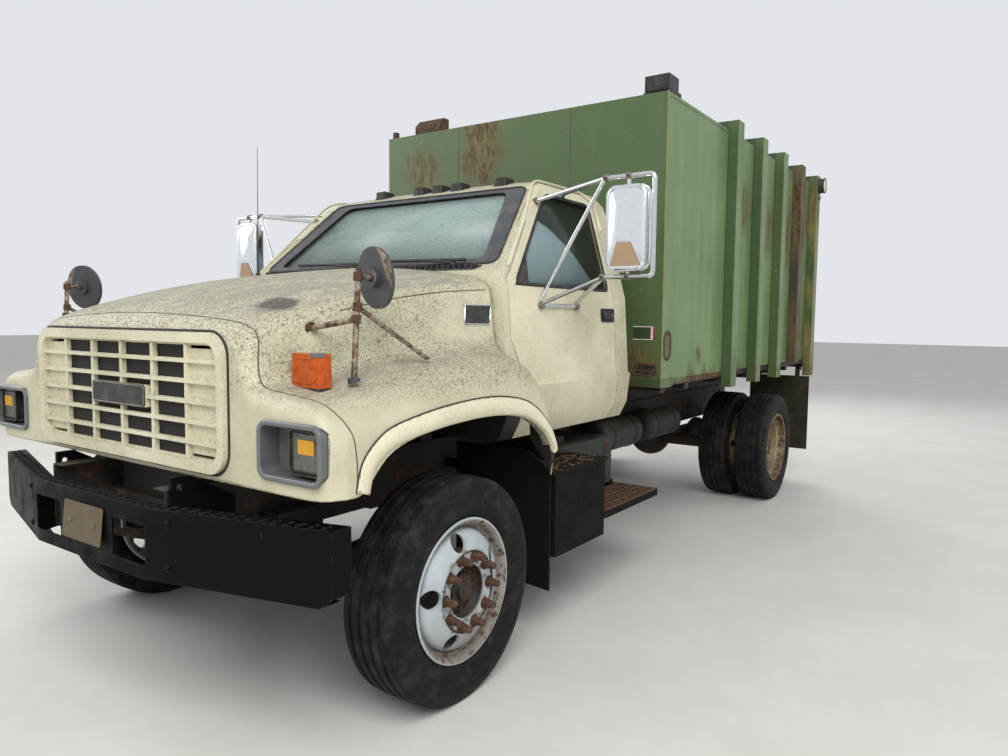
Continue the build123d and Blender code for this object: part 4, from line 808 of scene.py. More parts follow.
HOOD_PEEL = (at(0.66, -0.52, 1.61), 0.055, 0.05, 0.16, 9.0)
FRONT_STAINS = (
    (at(-0.24, 1.98, 2.95), 0.10, 0.16, 0.24, 1.0),
    (at(-0.25, 1.98, 2.68), 0.08, 0.18, 0.26, 0.9),
    (at(-0.80, 1.98, 2.68), 0.07, 0.16, 0.24, 0.7),
    (at(-0.80, 1.98, 2.42), 0.08, 0.16, 0.24, 0.7),
    (at(0.98, 1.98, 1.30), 0.05, 0.14, 0.20, 0.8),
)
SIDE_STAINS = (
    (at(1.143, 2.62, 1.34), 0.02, 0.06, 0.08, 0.8),
    (at(1.143, 3.50, 2.45), 0.06, 0.22, 0.24, 0.6),
    (at(1.143, 4.10, 2.35), 0.08, 0.26, 0.24, 0.65),
    (at(1.143, 4.66, 2.45), 0.14, 0.34, 0.30, 0.7),
)
POST_STAINS = (
    (at(1.20, 4.97, 2.60), 0.22, 0.35, 0.30, 1.0),
    (at(1.20, 5.56, 2.75), 0.06, 0.28, 0.26, 0.5),
    (at(1.20, 4.97, 1.50), 0.08, 0.34, 0.30, 0.7),
)
HUBS = {
    "front_left": at(FRONT_WHEEL_X, 0, WHEEL_HEIGHT),
    "front_right": at(-FRONT_WHEEL_X, 0, WHEEL_HEIGHT),
    "rear_left": at(REAR_PAIR_X, REAR_AXLE, WHEEL_HEIGHT),
    "rear_right": at(-REAR_PAIR_X, REAR_AXLE, WHEEL_HEIGHT),
}

CREAM_HOOD = cream_paint("cream_hood", 1.0, 0.95, HOOD_PEEL, (207, 202, 175), (192, 187, 158), True)
CREAM_CLEAN = cream_paint("cream_clean", 0.35)
CREAM_FLARE = cream_paint("cream_flare", 0.25, light=(228, 222, 192), dull=(216, 210, 180))
# The cab's cream carries painted shade in the wheel arch and on its downward faces.
CREAM_CAB = cream_paint("cream_cab", 0.7, 0.3, light=(212, 206, 178), dull=(196, 190, 160), arch=True)
GREEN_SIDE = green_paint("green_box", colour(118, 143, 97), colour(101, 125, 80), 0.55,
                         FRONT_STAINS + SIDE_STAINS, (1.75, 2.7), (84, 82, 48))
GREEN_POST = green_paint("green_posts", colour(116, 139, 92), colour(86, 111, 70), 0.6, POST_STAINS,
                         (1.6, 3.0), brown=(2.48, 2.68))
GREEN_DARK = green_paint("green_shade", colour(88, 106, 74), colour(70, 88, 60), 0.9)
CHASSIS = dark_steel("chassis_steel", colour(28, 24, 19), 0.6, 0.3)
CHASSIS_BLACK = dark_steel("chassis_black", colour(28, 27, 26), 0.3, 0.4)
CRUST = bare_rust("rust_crust")
SCORCHED = dark_steel("rust_scorched", colour(24, 20, 17), 0.35, 0.2, rust_scale=22.0)
BLACK = black_paint("bumper_black", colour(5, 6, 8), 0.18, 0.46)
STEP = black_paint("step_black_worn", colour(20, 19, 14), 0.25, 0.65)
TYRE = rubber("tyre_black", colour(13, 13, 13), 0.2)
FLAP = rubber("flap_rubber_old", colour(40, 36, 24), 0.2)
WHITE_LEFT = front_wheel_paint("wheel_white_left", HUBS["front_left"])
WHITE_RIGHT = front_wheel_paint("wheel_white_right", HUBS["front_right"])
TAN_LEFT, TAN_RIGHT = (
    rear_wheel_paint(f"wheel_tan_{name}", HUBS[f"rear_{name}"], colour(160, 143, 112), colour(126, 106, 78))
    for name in ("left", "right")
)
PANE = glass("pane_glass", colour(160, 182, 176), 1.0, colour(158, 176, 173), band=True)
DOOR_PANE = glass("door_pane", colour(110, 136, 128), 0.5, colour(140, 156, 150), arc=True)
AMBER = lens("lens_amber", colour(208, 88, 4))
RED = lens("lens_red", colour(150, 22, 18))
CHROME = shiny("mirror_chrome", colour(214, 216, 218), 0.14, 1.0, 0.22)
POLISHED = shiny("mirror_face", colour(168, 172, 174), 0.05, 1.0, 0.12)
GREY_METAL = shiny("lamp_grey_metal", colour(116, 118, 120), 0.34, 0.4, 0.25)
BARE = shiny("bare_steel_worn", colour(132, 126, 118), 0.45, 0.7, 0.6)
PLASTIC = plastic("black_plastic_trim", colour(33, 34, 38), 0.48)
TRIM = plastic("black_rubber_trim", colour(24, 24, 25), 0.62, 0.3)
GLASS_EDGE = plastic("glass_edge_dark", colour(52, 54, 62), 0.25, 0.4)
SEAM = plastic("seam_olive_grey", colour(74, 72, 56), 0.7, 0.5)
CABIN = plastic("cabin_grey", colour(78, 76, 72), 0.7, 0.3)
POSTS = post_paint("mirror_posts", colour(150, 138, 118), colour(58, 60, 63))
MIRROR_METAL = shiny("mirror_head_metal", colour(238, 240, 242), 0.11, 1.0, 0.12)
# Painted reflection: the brown lower facet of each chrome mirror head.
MIRROR_FACET_REFLECTION = plastic("mirror_facet_painted_reflection", colour(168, 142, 112), 0.4, 0.3)
HOUSING = lamp_housing("roof_lamp_housing")
WORK_LENS = plastic("work_lens", colour(214, 206, 160), 0.2, 0.35)
HEAD_LENS = lens("headlamp_lens_grey", colour(98, 103, 93), 0.1)
RECESS = plastic("lamp_recess_grey", colour(98, 98, 95), 0.5, 0.4)
DARK_LENS = plastic("dark_lens", colour(34, 37, 33), 0.2, 0.3)
WELD = plastic("weld_bead_yellow", colour(128, 124, 78), 0.7, 0.5)
LIP = green_paint("green_lip", colour(96, 116, 76), colour(78, 94, 60), 1.0,
                  ((at(1.13, 2.75, 1.18), 0.35, 0.2, 0.4, 1.0),))
GRILLE_CREAM = cream_paint("grille_cream", 0.45, chipped=(26, 25, 22))
LEAVES = litter("leaf_litter")
VINYL = vinyl("seat_vinyl_grey", colour(74, 72, 70))
# Painted shade for the grille's openings.
GRILLE_SHADE_SHEET = shade_sheet_paint("grille_painted_shade")
STICKER = plastic("sticker_yellow", colour(206, 148, 22), 0.5, 0.2)
PLATE = plastic("plate_tan", colour(88, 74, 50), 0.5, 0.3)
TAPE_WHITE = plastic("tape_white", colour(206, 206, 200), 0.5, 0.4)
TAPE_RED = plastic("tape_red", colour(150, 44, 38), 0.5, 0.4)
RADIATOR = dark_steel("radiator_core", colour(30, 30, 30), 0.1, 0.3)


# Finish of the nodes that keep their own shape: node, material, edge radius
KEPT = [
    ("frame_rails", CHASSIS, 0.003), ("crossmembers", CHASSIS, 0.002), ("engine_block", CHASSIS, 0.02),
    ("radiator", RADIATOR, 0.006), ("front_axle", CHASSIS, 0.008), ("leaf_springs", CHASSIS, 0.002),
    ("rear_axle", CHASSIS, 0.01), ("side_tanks", CHASSIS_BLACK, 0.006), ("side_steps", STEP, 0.002),
    ("front_bumper", BLACK, 0.006), ("cab_shell", CREAM_CAB, 0.02), ("cab_glass", PANE, 0.0),
    ("dashboard", CABIN, 0.012), ("wipers", TRIM, 0.0), ("grille", GRILLE_CREAM, 0.004),
    ("front_lamps", GREY_METAL, 0.004), ("hood_mirrors", POSTS, 0.003),
    ("door_left", CREAM_CLEAN, 0.010), ("door_right", CREAM_CLEAN, 0.010),
    ("door_glass_left", DOOR_PANE, 0.0), ("door_glass_right", DOOR_PANE, 0.0),
    ("door_mirror_left", CHROME, 0.004), ("door_mirror_right", CHROME, 0.004),
    ("knuckle_left", CHASSIS, 0.003), ("knuckle_right", CHASSIS, 0.003), ("tie_rod", CHASSIS, 0.0),
    ("tyre_front_left", TYRE, 0.0), ("tyre_front_right", TYRE, 0.0),
    ("tyres_rear_left", TYRE, 0.0), ("tyres_rear_right", TYRE, 0.0),
    ("wheel_front_left", WHITE_LEFT, 0.002), ("wheel_front_right", WHITE_RIGHT, 0.002),
    ("wheels_rear_left", TAN_LEFT, 0.002), ("wheels_rear_right", TAN_RIGHT, 0.002),
    ("refuse_box", GREEN_SIDE, 0.006), ("side_posts", GREEN_POST, 0.006), ("roof_bows", GREEN_DARK, 0.004),
    ("box_subframe", CHASSIS, 0.002), ("rear_mudflaps", FLAP, 0.002), ("box_lamps", HOUSING, 0.004),
    ("tailgate", GREEN_POST, 0.004), ("hoist_barrel", CHASSIS_BLACK, 0.003), ("hoist_rod", BARE, 0.0),
    ("hood_shell", CREAM_HOOD, 0.0), ("seat_bench", VINYL, 0.02),
]
WELD_REACH = 0.00005
for node, finish, radius in KEPT:
    obj = NODES[node]
    obj.data.materials.clear()
    obj.data.materials.append(finish)
    obj.data.shade_smooth()
    if "custom_normal" in obj.data.attributes:
        obj.data.attributes.remove(obj.data.attributes["custom_normal"])
    weld = obj.modifiers.new("weld", "WELD")
    weld.merge_threshold = WELD_REACH
    if radius:
        soften(obj, radius)


# Hood: left half as three joined cages (top, face and outer side), mirrored and smoothed
# Top rows: station, half width, seam height, corner height, crown height, wall foot x, fender height
HOOD_ROWS = [
    (-0.760, 0.750, 1.440, 1.490, 1.512, 0.800, 1.272),
    (-0.740, 0.762, 1.475, 1.522, 1.552, 0.812, 1.305),
    (-0.695, 0.785, 1.503, 1.558, 1.594, 0.822, 1.319),
    (-0.600, 0.802, 1.532, 1.590, 1.632, 0.835, 1.322),
    (-0.500, 0.828, 1.562, 1.618, 1.662, 0.858, 1.346),
    (-0.340, 0.872, 1.600, 1.657, 1.706, 0.905, 1.376),
    (-0.170, 0.913, 1.642, 1.692, 1.750, 0.948, 1.404),
    (0.050, 0.920, 1.676, 1.722, 1.782, 0.958, 1.430),
    (0.250, 0.922, 1.699, 1.744, 1.808, 0.960, 1.443),
    (0.400, 0.924, 1.708, 1.758, 1.826, 0.960, 1.436),
    (0.490, 0.925, 1.712, 1.768, 1.835, 0.960, 1.408),
    (0.545, 0.925, 1.712, 1.768, 1.835, 0.960, 1.365),
    (0.592, 0.925, 1.712, 1.768, 1.835, 0.960, 1.272),
    (0.612, 0.925, 1.712, 1.768, 1.835, 0.960, 1.130),
    (0.614, 0.925, 1.712, 1.768, 1.835, 0.960, 1.010),
]
COWL_ROW = 10
CROWN_SHARES = (0.0, 0.30, 0.55, 0.75, 0.88)
# Outer columns of the fender's top: x, drop below the fender's height
FENDER_COLUMNS = ((1.075, 0.022), (1.135, 0.060), (1.172, 0.112), (1.190, 0.170))
# Plan of the front corner: x, station
NOSE = -0.760
NOSE_PLAN = (
    (0.0, NOSE), (0.90, NOSE), (1.075, NOSE), (1.135, -0.755), (1.172, -0.736), (1.190, -0.688),
)
NOSE_BLEND = 0.18
FACE_BOTTOM = 0.975
LEVELS = (0.0, 0.10, 0.35, 0.65, 0.90, 1.0)
# Arch lip: station, height, width of the flare round it
ARCH = [
    (-0.582, 0.975, 0.058), (-0.556, 1.056, 0.060), (-0.500, 1.104, 0.064), (-0.420, 1.133, 0.068),
    (-0.190, 1.163, 0.074), (0.060, 1.176, 0.076), (0.250, 1.166, 0.074), (0.402, 1.135, 0.066),
    (0.535, 1.062, 0.050), (0.600, 0.985, 0.040), (0.614, 0.950, 0.036),
]
HOOD_SHELL = 0.012


def hood_point(row, column):
    """A point of the top cage."""
    station, half, seam, corner, crown, foot, fender = HOOD_ROWS[row]
    last_crown = len(CROWN_SHARES) - 1
    if column <= last_crown:
        share = CROWN_SHARES[column]
        x, z = half * share, crown - (crown - corner) * (share / CROWN_SHARES[last_crown]) ** 2
    elif column < last_crown + 6:
        x, z = (
            (half * 0.962, seam + 0.62 * (corner - seam)), (half, seam),
            (half + 0.35 * (foot - half), seam + 0.42 * (fender - seam)),
            (half + 0.75 * (foot - half), seam + 0.84 * (fender - seam)), (foot + 0.022, fender + 0.004),
        )[column - last_crown - 1]
    else:
        x, drop = FENDER_COLUMNS[column - last_crown - 6]
        z = fender - drop * (0.75 if station < -0.45 else 1.0)
    ahead = between(NOSE_PLAN, x) - NOSE
    fade = max(0.0, 1 - (station - NOSE) / NOSE_BLEND)
    return at(x, station + ahead * fade, z)


HOOD_COLUMNS = len(CROWN_SHARES) + 5 + len(FENDER_COLUMNS)
top = [[hood_point(r, c) for c in range(HOOD_COLUMNS)] for r in range(len(HOOD_ROWS))]
face = [[Vector((p.x, p.y, FACE_BOTTOM + level * (p.z - FACE_BOTTOM))) for p in top[0]] for level in LEVELS]
outer = []
for profile in top:
    rim = profile[-1]
    station = rim.y - FRONT_AXLE_Y
    lip = FACE_BOTTOM if station < ARCH[0][0] else between(ARCH, station)
    outer.append([
        Vector((rim.x + 0.010 * (1 - level) ** 0.5, rim.y, lip + level * (rim.z - lip))) for level in LEVELS
    ])
    outer[-1][-1] = rim
for level in range(len(LEVELS)):
    outer[0][level] = face[level][-1]

hood = Shape()
hood.rows(top[:COWL_ROW + 1])
hood.rows([row[HOOD_COLUMNS - 4:] for row in top[COWL_ROW:]])
hood.rows(face)
hood.rows(outer)
hood.both_sides()
hood_skin = hood.piece("hood_skin", "hood", [CREAM_HOOD, CHASSIS_BLACK], "cab_cream", ["hood_shell"],
                       subdivide=2, merge=0.0004, shell=HOOD_SHELL, shell_finish=1)

GRILLE_HEIGHT = 1.255
LAMP_X, LAMP_HEIGHT = 1.020, 1.122


def behind_nose(u, v, w):
    """Places an outline at the nose, with depth running rearwards."""
    return at(u, NOSE + w, v)


openings = Shape()
openings.plate(rounded_rectangle(1.310, 0.440, 0.070, centre=(0, GRILLE_HEIGHT)), (-0.05, 0.08), behind_nose)
for side in (-1, 1):
    lamp_outline = rounded_rectangle(0.300, 0.184, 0.034, centre=(side * LAMP_X, LAMP_HEIGHT))
    openings.plate(lamp_outline, (-0.05, 0.12), behind_nose)
cut(hood_skin, openings.piece("cutter", "hood", [CREAM_HOOD]))


# Tyres and wheels

TYRE_HALF = 0.1275
TYRE_TOP = 0.4645
TREAD_CROWN = 0.27
GROOVE_DEPTH = 0.009
LUG_DEPTH = 0.008
TREAD_HALF = [0.014, 0.018, 0.030, 0.034, 0.062, 0.066, 0.078, 0.082, 0.104]
TREAD = [-x for x in reversed(TREAD_HALF)] + TREAD_HALF
GROOVES = (2, 3, 6, 7, 10, 11, 14, 15)
# Sidewall rows: share of the half width, radius
SIDEWALL = [
    (0.74, 0.289), (0.80, 0.298), (0.90, 0.318), (0.93, 0.322), (0.955, 0.330), (0.99, 0.360), (1.0, 0.382),
    (0.985, 0.400), (0.99, 0.404), (0.955, 0.424), (0.93, 0.436), (0.90, 0.448), (0.855, 0.4585),
]


def tyre_profile():
    outer_wall = [(share * TYRE_HALF, radius) for share, radius in SIDEWALL]
    depths = [GROOVE_DEPTH if i in GROOVES else 0.0 for i in range(len(TREAD))]
    tread = [(x, TYRE_TOP - depth - TREAD_CROWN * x * x) for x, depth in zip(TREAD, depths)]
    bead_seat = [(0.086, 0.285), (-0.086, 0.285)]
    return [(-x, r) for x, r in outer_wall] + tread + outer_wall[::-1] + bead_seat


def tyre(shape, centre, lugs):
    """One tyre; lugs cut notches across its shoulders."""
    first, last = len(SIDEWALL), len(SIDEWALL) + len(TREAD)
    shoulder = {edge + step for edge in (first, last) for step in (-2, -1, 0, 1)}

    def notch(i, k):
        return LUG_DEPTH if lugs and i in shoulder and k % 4 == 0 else 0.0

    shape.turn(tyre_profile(), centre, sides=168 if lugs else 96, dent=notch)


# Front wheel, by offset from its middle and radius: rim, disc, and the drum with its brake shield
RIM_ROWS = [
    (-0.110, 0.298), (-0.1125, 0.290), (-0.107, 0.276), (-0.072, 0.270), (-0.052, 0.245), (0.052, 0.245),
    (0.072, 0.268), (0.100, 0.273), (0.108, 0.279), (0.1125, 0.290), (0.111, 0.297), (0.107, 0.298),
    (0.104, 0.289), (0.096, 0.2845), (0.076, 0.283), (0.054, 0.257), (-0.054, 0.257), (-0.076, 0.283),
    (-0.096, 0.2845), (-0.104, 0.289), (-0.107, 0.298),
]
DISC_ROWS = [
    (0.030, 0.248), (0.074, 0.249), (0.086, 0.243), (0.096, 0.232), (0.108, 0.212), (0.118, 0.192),
    (0.1255, 0.178), (0.1285, 0.170), (0.1270, 0.163), (0.1225, 0.158), (0.1205, 0.150), (0.1205, 0.112),
    (0.1190, 0.108), (0.112, 0.108), (0.112, 0.150), (0.1165, 0.168), (0.108, 0.184), (0.098, 0.206),
    (0.086, 0.226), (0.074, 0.238), (0.060, 0.241), (0.030, 0.240),
]
DRUM_ROWS = [
    (-0.070, 0.034), (-0.070, 0.110), (0.060, 0.110), (0.060, 0.168), (0.111, 0.168), (0.111, 0.150),
    (0.062, 0.100), (0.062, 0.034),
]
STUD_COUNT, STUD_CIRCLE = 10, 0.1429
HAND_HOLES, HAND_HOLE_CIRCLE, HAND_HOLE_RADIUS = 5, 0.2095, 0.0375
FIRST_HAND_HOLE = math.radians(102)
for side, name in SIDES:
    centre = at(side * FRONT_WHEEL_X, 0, WHEEL_HEIGHT)
    body = f"front_wheel_{name}"
    white = WHITE_LEFT if side > 0 else WHITE_RIGHT
    disc = Shape()
    disc.turn(mirrored(DISC_ROWS, side), centre, 120)
    disc = disc.piece(f"front_disc_{name}", body, [white], "wheel_white", angle=30)
    punch = Shape()
    for spot in round_axle(centre, HAND_HOLE_CIRCLE, HAND_HOLES, FIRST_HAND_HOLE):
        punch.stud(spot, outward(side, 0.05), outward(side, 0.16), HAND_HOLE_RADIUS, 40)
    cut(disc, punch.piece(f"punch_{name}", body, [white]))
    disc.data.set_sharp_from_angle(angle=math.radians(35))
    rim = Shape()
    rim.turn(mirrored(RIM_ROWS, side), centre, 120)
    rim.turn(mirrored(DRUM_ROWS, side), centre, 60, 1)
    for spot in round_axle(centre + outward(side, 0.120), STUD_CIRCLE, STUD_COUNT):
        rim.stud(spot, (0, 0, 0), outward(side, 0.030), [0.0205, 0.0190], 6, 2)
        tip = [spot + outward(side, reach) for reach in (0.029, 0.053, 0.056)]
        rim.tube(tip, [0.0150, 0.0145, 0.0120], 12, 2)
    rim.piece(f"front_rim_{name}", body, [white, CHASSIS, CRUST], "wheel_white", [f"wheel_front_{name}"],
              bevel=0.0012)
for side, name in SIDES:
    for axle, noun, wheel, station, offsets in (
        ("front", "tyre", "wheel", 0, (FRONT_WHEEL_X,)), ("rear", "tyres", "wheels", REAR_AXLE, REAR_TYRES_X),
    ):
        rolling = Shape()
        for x in offsets:
            tyre(rolling, at(side * x, station, WHEEL_HEIGHT), axle == "rear")
        rolling.piece(f"{axle}_{noun}_{name}", f"{axle}_{wheel}_{name}", [TYRE], "tyre_rubber",
                      [f"{noun}_{axle}_{name}"], angle=50)


# Details laid on the nodes

# Side of the cab: height, half width
CAB_SIDE_X = [(0.990, 0.955), (1.080, 1.000), (1.245, 1.020), (1.260, 1.005), (1.700, 0.975), (2.255, 0.820),
              (2.320, 0.760)]


def on_cab_side(side, station, height, out=0.0):
    """A point on or off the outside of the cab's side."""
    return at(side * (between(CAB_SIDE_X, height) + out), station, height)


def cab_normal(side, height):
    """The direction away from the cab's side at a height."""
    lean = between(CAB_SIDE_X, height + 0.01) - between(CAB_SIDE_X, height - 0.01)
    return Vector((side, 0, -lean / 0.02)).normalized()


def on_windshield(x, share, out=0.0):
    """A point on the slope of the windshield; share runs from its foot to its head."""
    return at(x, 0.600 + 0.500 * share - 0.685 * out, 1.830 + 0.470 * share + 0.729 * out)


WINDSHIELD_NORMAL = (0, -0.685, 0.729)

# Windshield: black surround, cowl panel with its slots, and debris that has gathered on it
# Outline on the glass: half width and share at the foot, the same at the head, corner radius
SURROUND_OUTSIDE = (0.868, 0.020, 0.728, 0.968, 0.060)
SURROUND_INSIDE = (0.770, 0.075, 0.616, 0.915, 0.050)


def windshield_outline(outline, lift):
    """A round-cornered outline lifted off the windshield."""
    half_foot, foot, half_head, head, corner = outline
    corners = ((-half_foot, foot), (half_foot, foot), (half_head, head), (-half_head, head))
    return rounded([on_windshield(x, share, lift) for x, share in corners], corner)


surround = Shape()
rings = [
    windshield_outline(SURROUND_OUTSIDE, -0.002), windshield_outline(SURROUND_OUTSIDE, 0.0035),
    windshield_outline(SURROUND_INSIDE, 0.0035), windshield_outline(SURROUND_INSIDE, -0.002),
]
surround.frame_ring(rings)
surround.bead(rings[1], WINDSHIELD_NORMAL, 0.012, 0.004, 1, closed=True)
surround.piece("windshield_rubber", "chassis", [GLASS_EDGE, TRIM], "black_plastic")

rear_rubber = Shape()
corners = [at(x, 1.800, z) for x, z in ((-0.62, 1.78), (0.62, 1.78), (0.62, 2.20), (-0.62, 2.20))]
rear_rubber.bead(rounded(corners, 0.05), (0, 1, 0), 0.036, 0.005, closed=True)
rear_rubber.piece("rear_window_rubber", "chassis", [TRIM], "black_plastic")


def on_cowl(x, station, lift):
    """A point on or above the sloping panel ahead of the windshield."""
    return at(x, station, 1.800 + (station - 0.505) * 30 / 95 + lift)


COWL_SLOTS, COWL_SLOT_PITCH = 44, 0.0358
DEBRIS_COUNT = 150
cowl = Shape()
cowl.rows([[on_cowl(x, st, lift) for x in (-0.80, -0.40, 0.0, 0.40, 0.80)]
           for st, lift in ((0.512, -0.002), (0.514, 0.006), (0.582, 0.007), (0.586, -0.002))])
for number in range(COWL_SLOTS):
    x = -0.77 + number * COWL_SLOT_PITCH
    cowl.box(on_cowl(x, 0.524, 0.003), on_cowl(x + 0.016, 0.572, 0.012), 1)
cowl.piece("cowl_panel", "chassis", [PLASTIC, TRIM], "black_plastic", bevel=0.001)

debris = Shape()
for number in range(DEBRIS_COUNT):
    x, station = random.uniform(-0.76, 0.76), 0.578 - abs(random.gauss(0, 0.016))
    size, turn = random.uniform(0.004, 0.013), random.uniform(0, math.pi)
    spot = on_cowl(x, station, 0.010)
    arms = []
    for k in range(4):
        reach = size * (1 if k % 2 else 0.45)
        arms.append((math.cos(turn + k * math.pi / 2) * reach, math.sin(turn + k * math.pi / 2) * reach))
    debris.rows([[spot + Vector((u, v, w + random.uniform(0, 0.002))) for u, v in arms] for w in (0, 0.002)],
                closed=True, capped=True)
debris.piece("cowl_debris", "chassis", [LEAVES])

antenna = Shape()
foot = on_cowl(-0.86, 0.540, 0.0)
base_rows = [(-0.002, 0.0), (-0.002, 0.018), (0.010, 0.016), (0.026, 0.009), (0.030, 0.0)]
antenna.turn(base_rows, foot, 20, axis="Z")
whip = [foot + Vector(step) for step in ((0, 0, 0.02), (-0.01, 0.01, 0.40), (-0.03, 0.03, 0.78))]
antenna.tube(whip, [0.0032, 0.0024, 0.0015], sides=8)
antenna.piece("antenna", "chassis", [TRIM], "black_plastic")

# Roof lamp stubs: rusty saddles where the lamps have gone
STUB_STATION = 1.235
stubs = Shape()
for x in (-0.470, -0.150, 0.0, 0.150, 0.470):
    rings = []
    for height, spread in ((2.318, 0.014), (2.330, 0.008), (2.345, 0.004), (2.366, 0.003), (2.3745, 0.001)):
        ring = []
        for u, v in rounded_rectangle(0.064 + 2 * spread, 0.090 + 2 * spread, 0.010, 4, (x, STUB_STATION)):
            u += random.uniform(0, 0.003) * (1 if u > x else -1)
            v += random.uniform(0, 0.003) * (1 if v > STUB_STATION else -1)
            ring.append(at(u, v, height))
        rings.append(ring)
    stubs.rows(rings, closed=True, capped=True)
    for number in range(5):
        spot = at(x + random.uniform(-0.026, 0.026), random.uniform(1.20, 1.27), 2.3735)
        reach = random_step((-0.014, 0.014), (-0.012, 0.012), (0.003, 0.010))
        stubs.tube([spot, spot + reach * 0.6, spot + reach], [0.008, 0.006, 0.002], 6)
stubs.piece("roof_lamp_saddles", "chassis", [SCORCHED], "black_plastic", angle=60)

# Doors, with the rail over each and its mirror
for side, name in SIDES:
    body = f"door_{name}"

    def on_door(u, v, w):
        """Places an outline of station and height on the door, with depth running outwards."""
        return on_cab_side(side, u, v, w)

    # Drip rail over the door, on the cab
    rail = Shape()
    path = [(0.598, 1.822), (0.82, 2.055), (1.035, 2.290), (1.12, 2.318), (1.36, 2.322), (1.62, 2.318),
            (1.672, 2.27), (1.676, 2.10)]
    path = bent([on_door(st, z, 0.0) for st, z in path], 0.05)
    rail.bead(path, [cab_normal(side, p.z) for p in path], 0.013, 0.009)
    rail.piece(f"drip_rail_{name}", "chassis", [CREAM_CLEAN], "cab_cream")

    # Window rubber, sail, handle and lock of the door
    window = [(0.632, 1.740), (1.072, 2.208), (1.130, 2.238), (1.556, 2.238), (1.588, 2.210), (1.594, 1.740)]
    window = rounded([Vector((0, st, z)) for st, z in window], 0.045)
    window = [on_cab_side(side, p.y, p.z) for p in window]
    rubber_strip = Shape()
    rubber_strip.bead(window, [cab_normal(side, p.z) for p in window], 0.018, 0.004, closed=True)
    rubber_strip.piece(f"window_rubber_{name}", body, [TRIM], "black_plastic")
    sail = Shape()
    sail.plate([(0.650, 1.748), (0.752, 1.748), (0.782, 1.890)], (-0.018, 0.002), on_door)
    sail.piece(f"sail_{name}", body, [PLASTIC], "black_plastic", bevel=0.003)

    handle = Shape()
    rim = rounded_rectangle(0.162, 0.078, 0.012, centre=(1.556, 1.597))
    dish = rounded_rectangle(0.147, 0.062, 0.010, centre=(1.556, 1.597))
    handle.frame_ring([[on_door(u, v, lift) for u, v in outline]
                       for outline, lift in ((rim, 0.000), (rim, 0.005), (dish, 0.006), (dish, 0.001))])
    handle.plate(dish, (0.0005, 0.002), on_door, 1)
    handle.plate(rounded_rectangle(0.100, 0.046, 0.010, centre=(1.542, 1.599)), (0.002, 0.014), on_door)
    handle.tube([on_door(1.612, 1.595, lift) for lift in (0.002, 0.008)], 0.011, 14, 2)
    handle.piece(f"door_handle_{name}", body, [PLASTIC, TRIM, BARE], "black_plastic", bevel=0.002)

    # Chrome mirror head with its facets and the glass behind; its brown lower facet is a painted reflection.
    head = Shape()
    centre_x, centre_height = side * 1.420, 2.000
    rings = []
    for width, height, radius, station, rise in (
        (0.208, 0.398, 0.050, 0.9225, 0), (0.216, 0.406, 0.053, 0.914, 0), (0.216, 0.406, 0.053, 0.886, 0),
        (0.206, 0.396, 0.050, 0.872, 0), (0.188, 0.378, 0.044, 0.8665, 0), (0.172, 0.362, 0.040, 0.8685, 0),
        (0.074, 0.170, 0.006, 0.8500, 0.02),
    ):
        outline = rounded_rectangle(width, height, radius, centre=(centre_x, centre_height + rise))
        rings.append([at(u, station, v) for u, v in outline])
    head.rows(rings, closed=True, capped=True)
    # Painted reflection: the lower facet is a flat brown quad instead of chrome.
    facet = ((-0.080, 0.8664, 1.824), (0.080, 0.8664, 1.824), (0.036, 0.8486, 1.932), (-0.036, 0.8486, 1.932))
    head.add([at(centre_x + u, st, v) for u, st, v in facet], [(0, 1, 2, 3)], 1)
    head.piece(f"mirror_head_{name}", body, [MIRROR_METAL, MIRROR_FACET_REFLECTION], "mirror_steel", angle=24)
    glass_face = Shape()
    outline = rounded_rectangle(0.190, 0.380, 0.044, centre=(centre_x, centre_height))
    glass_face.plate(outline, (0.9215, 0.9250), upright)
    outline = rounded_rectangle(0.199, 0.389, 0.047, centre=(centre_x, centre_height))
    glass_face.bead([at(u, 0.9235, v) for u, v in outline], (0, 1, 0), 0.012, 0.004, 1, closed=True)
    glass_face.piece(f"mirror_glass_{name}", body, [POLISHED, TRIM], "mirror_steel")
    clamps = Shape()
    for x, height in ((1.300, 2.243), (1.420, 2.243), (1.290, 1.775), (1.420, 1.775)):
        spot = at(side * x, 0.900, height)
        clamps.stud(spot, (-0.013, 0, 0), (0.013, 0, 0), 0.0175)
        clamps.stud(spot, (0, -0.024, 0), (0, 0.022, 0), 0.006, 8, 1)
    for station in (0.830, 1.185):
        clamps.stud(on_door(station, 1.640, 0.0), (0, 0, 0), outward(side, 0.020), 0.019)
    for station, height in ((0.992, 2.183), (1.300, 2.262)):
        clamps.stud(on_door(station, height, 0.0), outward(side, -0.006), (side * 0.014, 0, 0.004), 0.019)
    clamps.piece(f"mirror_clamps_{name}", body, [BARE, TRIM], "bare_steel", bevel=0.001)


# Hood seams, flares, badges and liners
near_hood = surface_of(hood_skin)
seams = Shape()
# Each seam by x, station and height: across the nose and down the corner, and along the top
SEAMS = [
    ((0.0, -0.712, 1.592), (0.30, -0.712, 1.585), (0.60, -0.706, 1.560), (0.745, -0.700, 1.530),
     (0.800, -0.705, 1.490), (0.822, -0.720, 1.429), (0.824, -0.720, 1.364), (0.845, -0.715, 1.325),
     (0.90, -0.710, 1.315), (1.00, -0.705, 1.311), (1.09, -0.695, 1.300), (1.15, -0.685, 1.275),
     (1.18, -0.665, 1.235), (1.192, -0.640, 1.174), (1.195, -0.630, 1.10), (1.195, -0.630, 1.04),
     (1.195, -0.635, 0.984)),
    ((0.775, -0.665, 1.505), (0.800, -0.520, 1.545), (0.845, -0.385, 1.590), (0.885, -0.250, 1.625),
     (0.905, -0.120, 1.650), (0.915, 0.150, 1.683), (0.925, 0.450, 1.706)),
]
for line in SEAMS:
    points, normals = laid(smooth_line([at(*p) for p in line], 60), near_hood, 0.02)
    seams.bead(points, normals, 0.0055, 0.0008)
seams.both_sides()
seams.piece("hood_seams", "hood", [SEAM], "black_plastic")

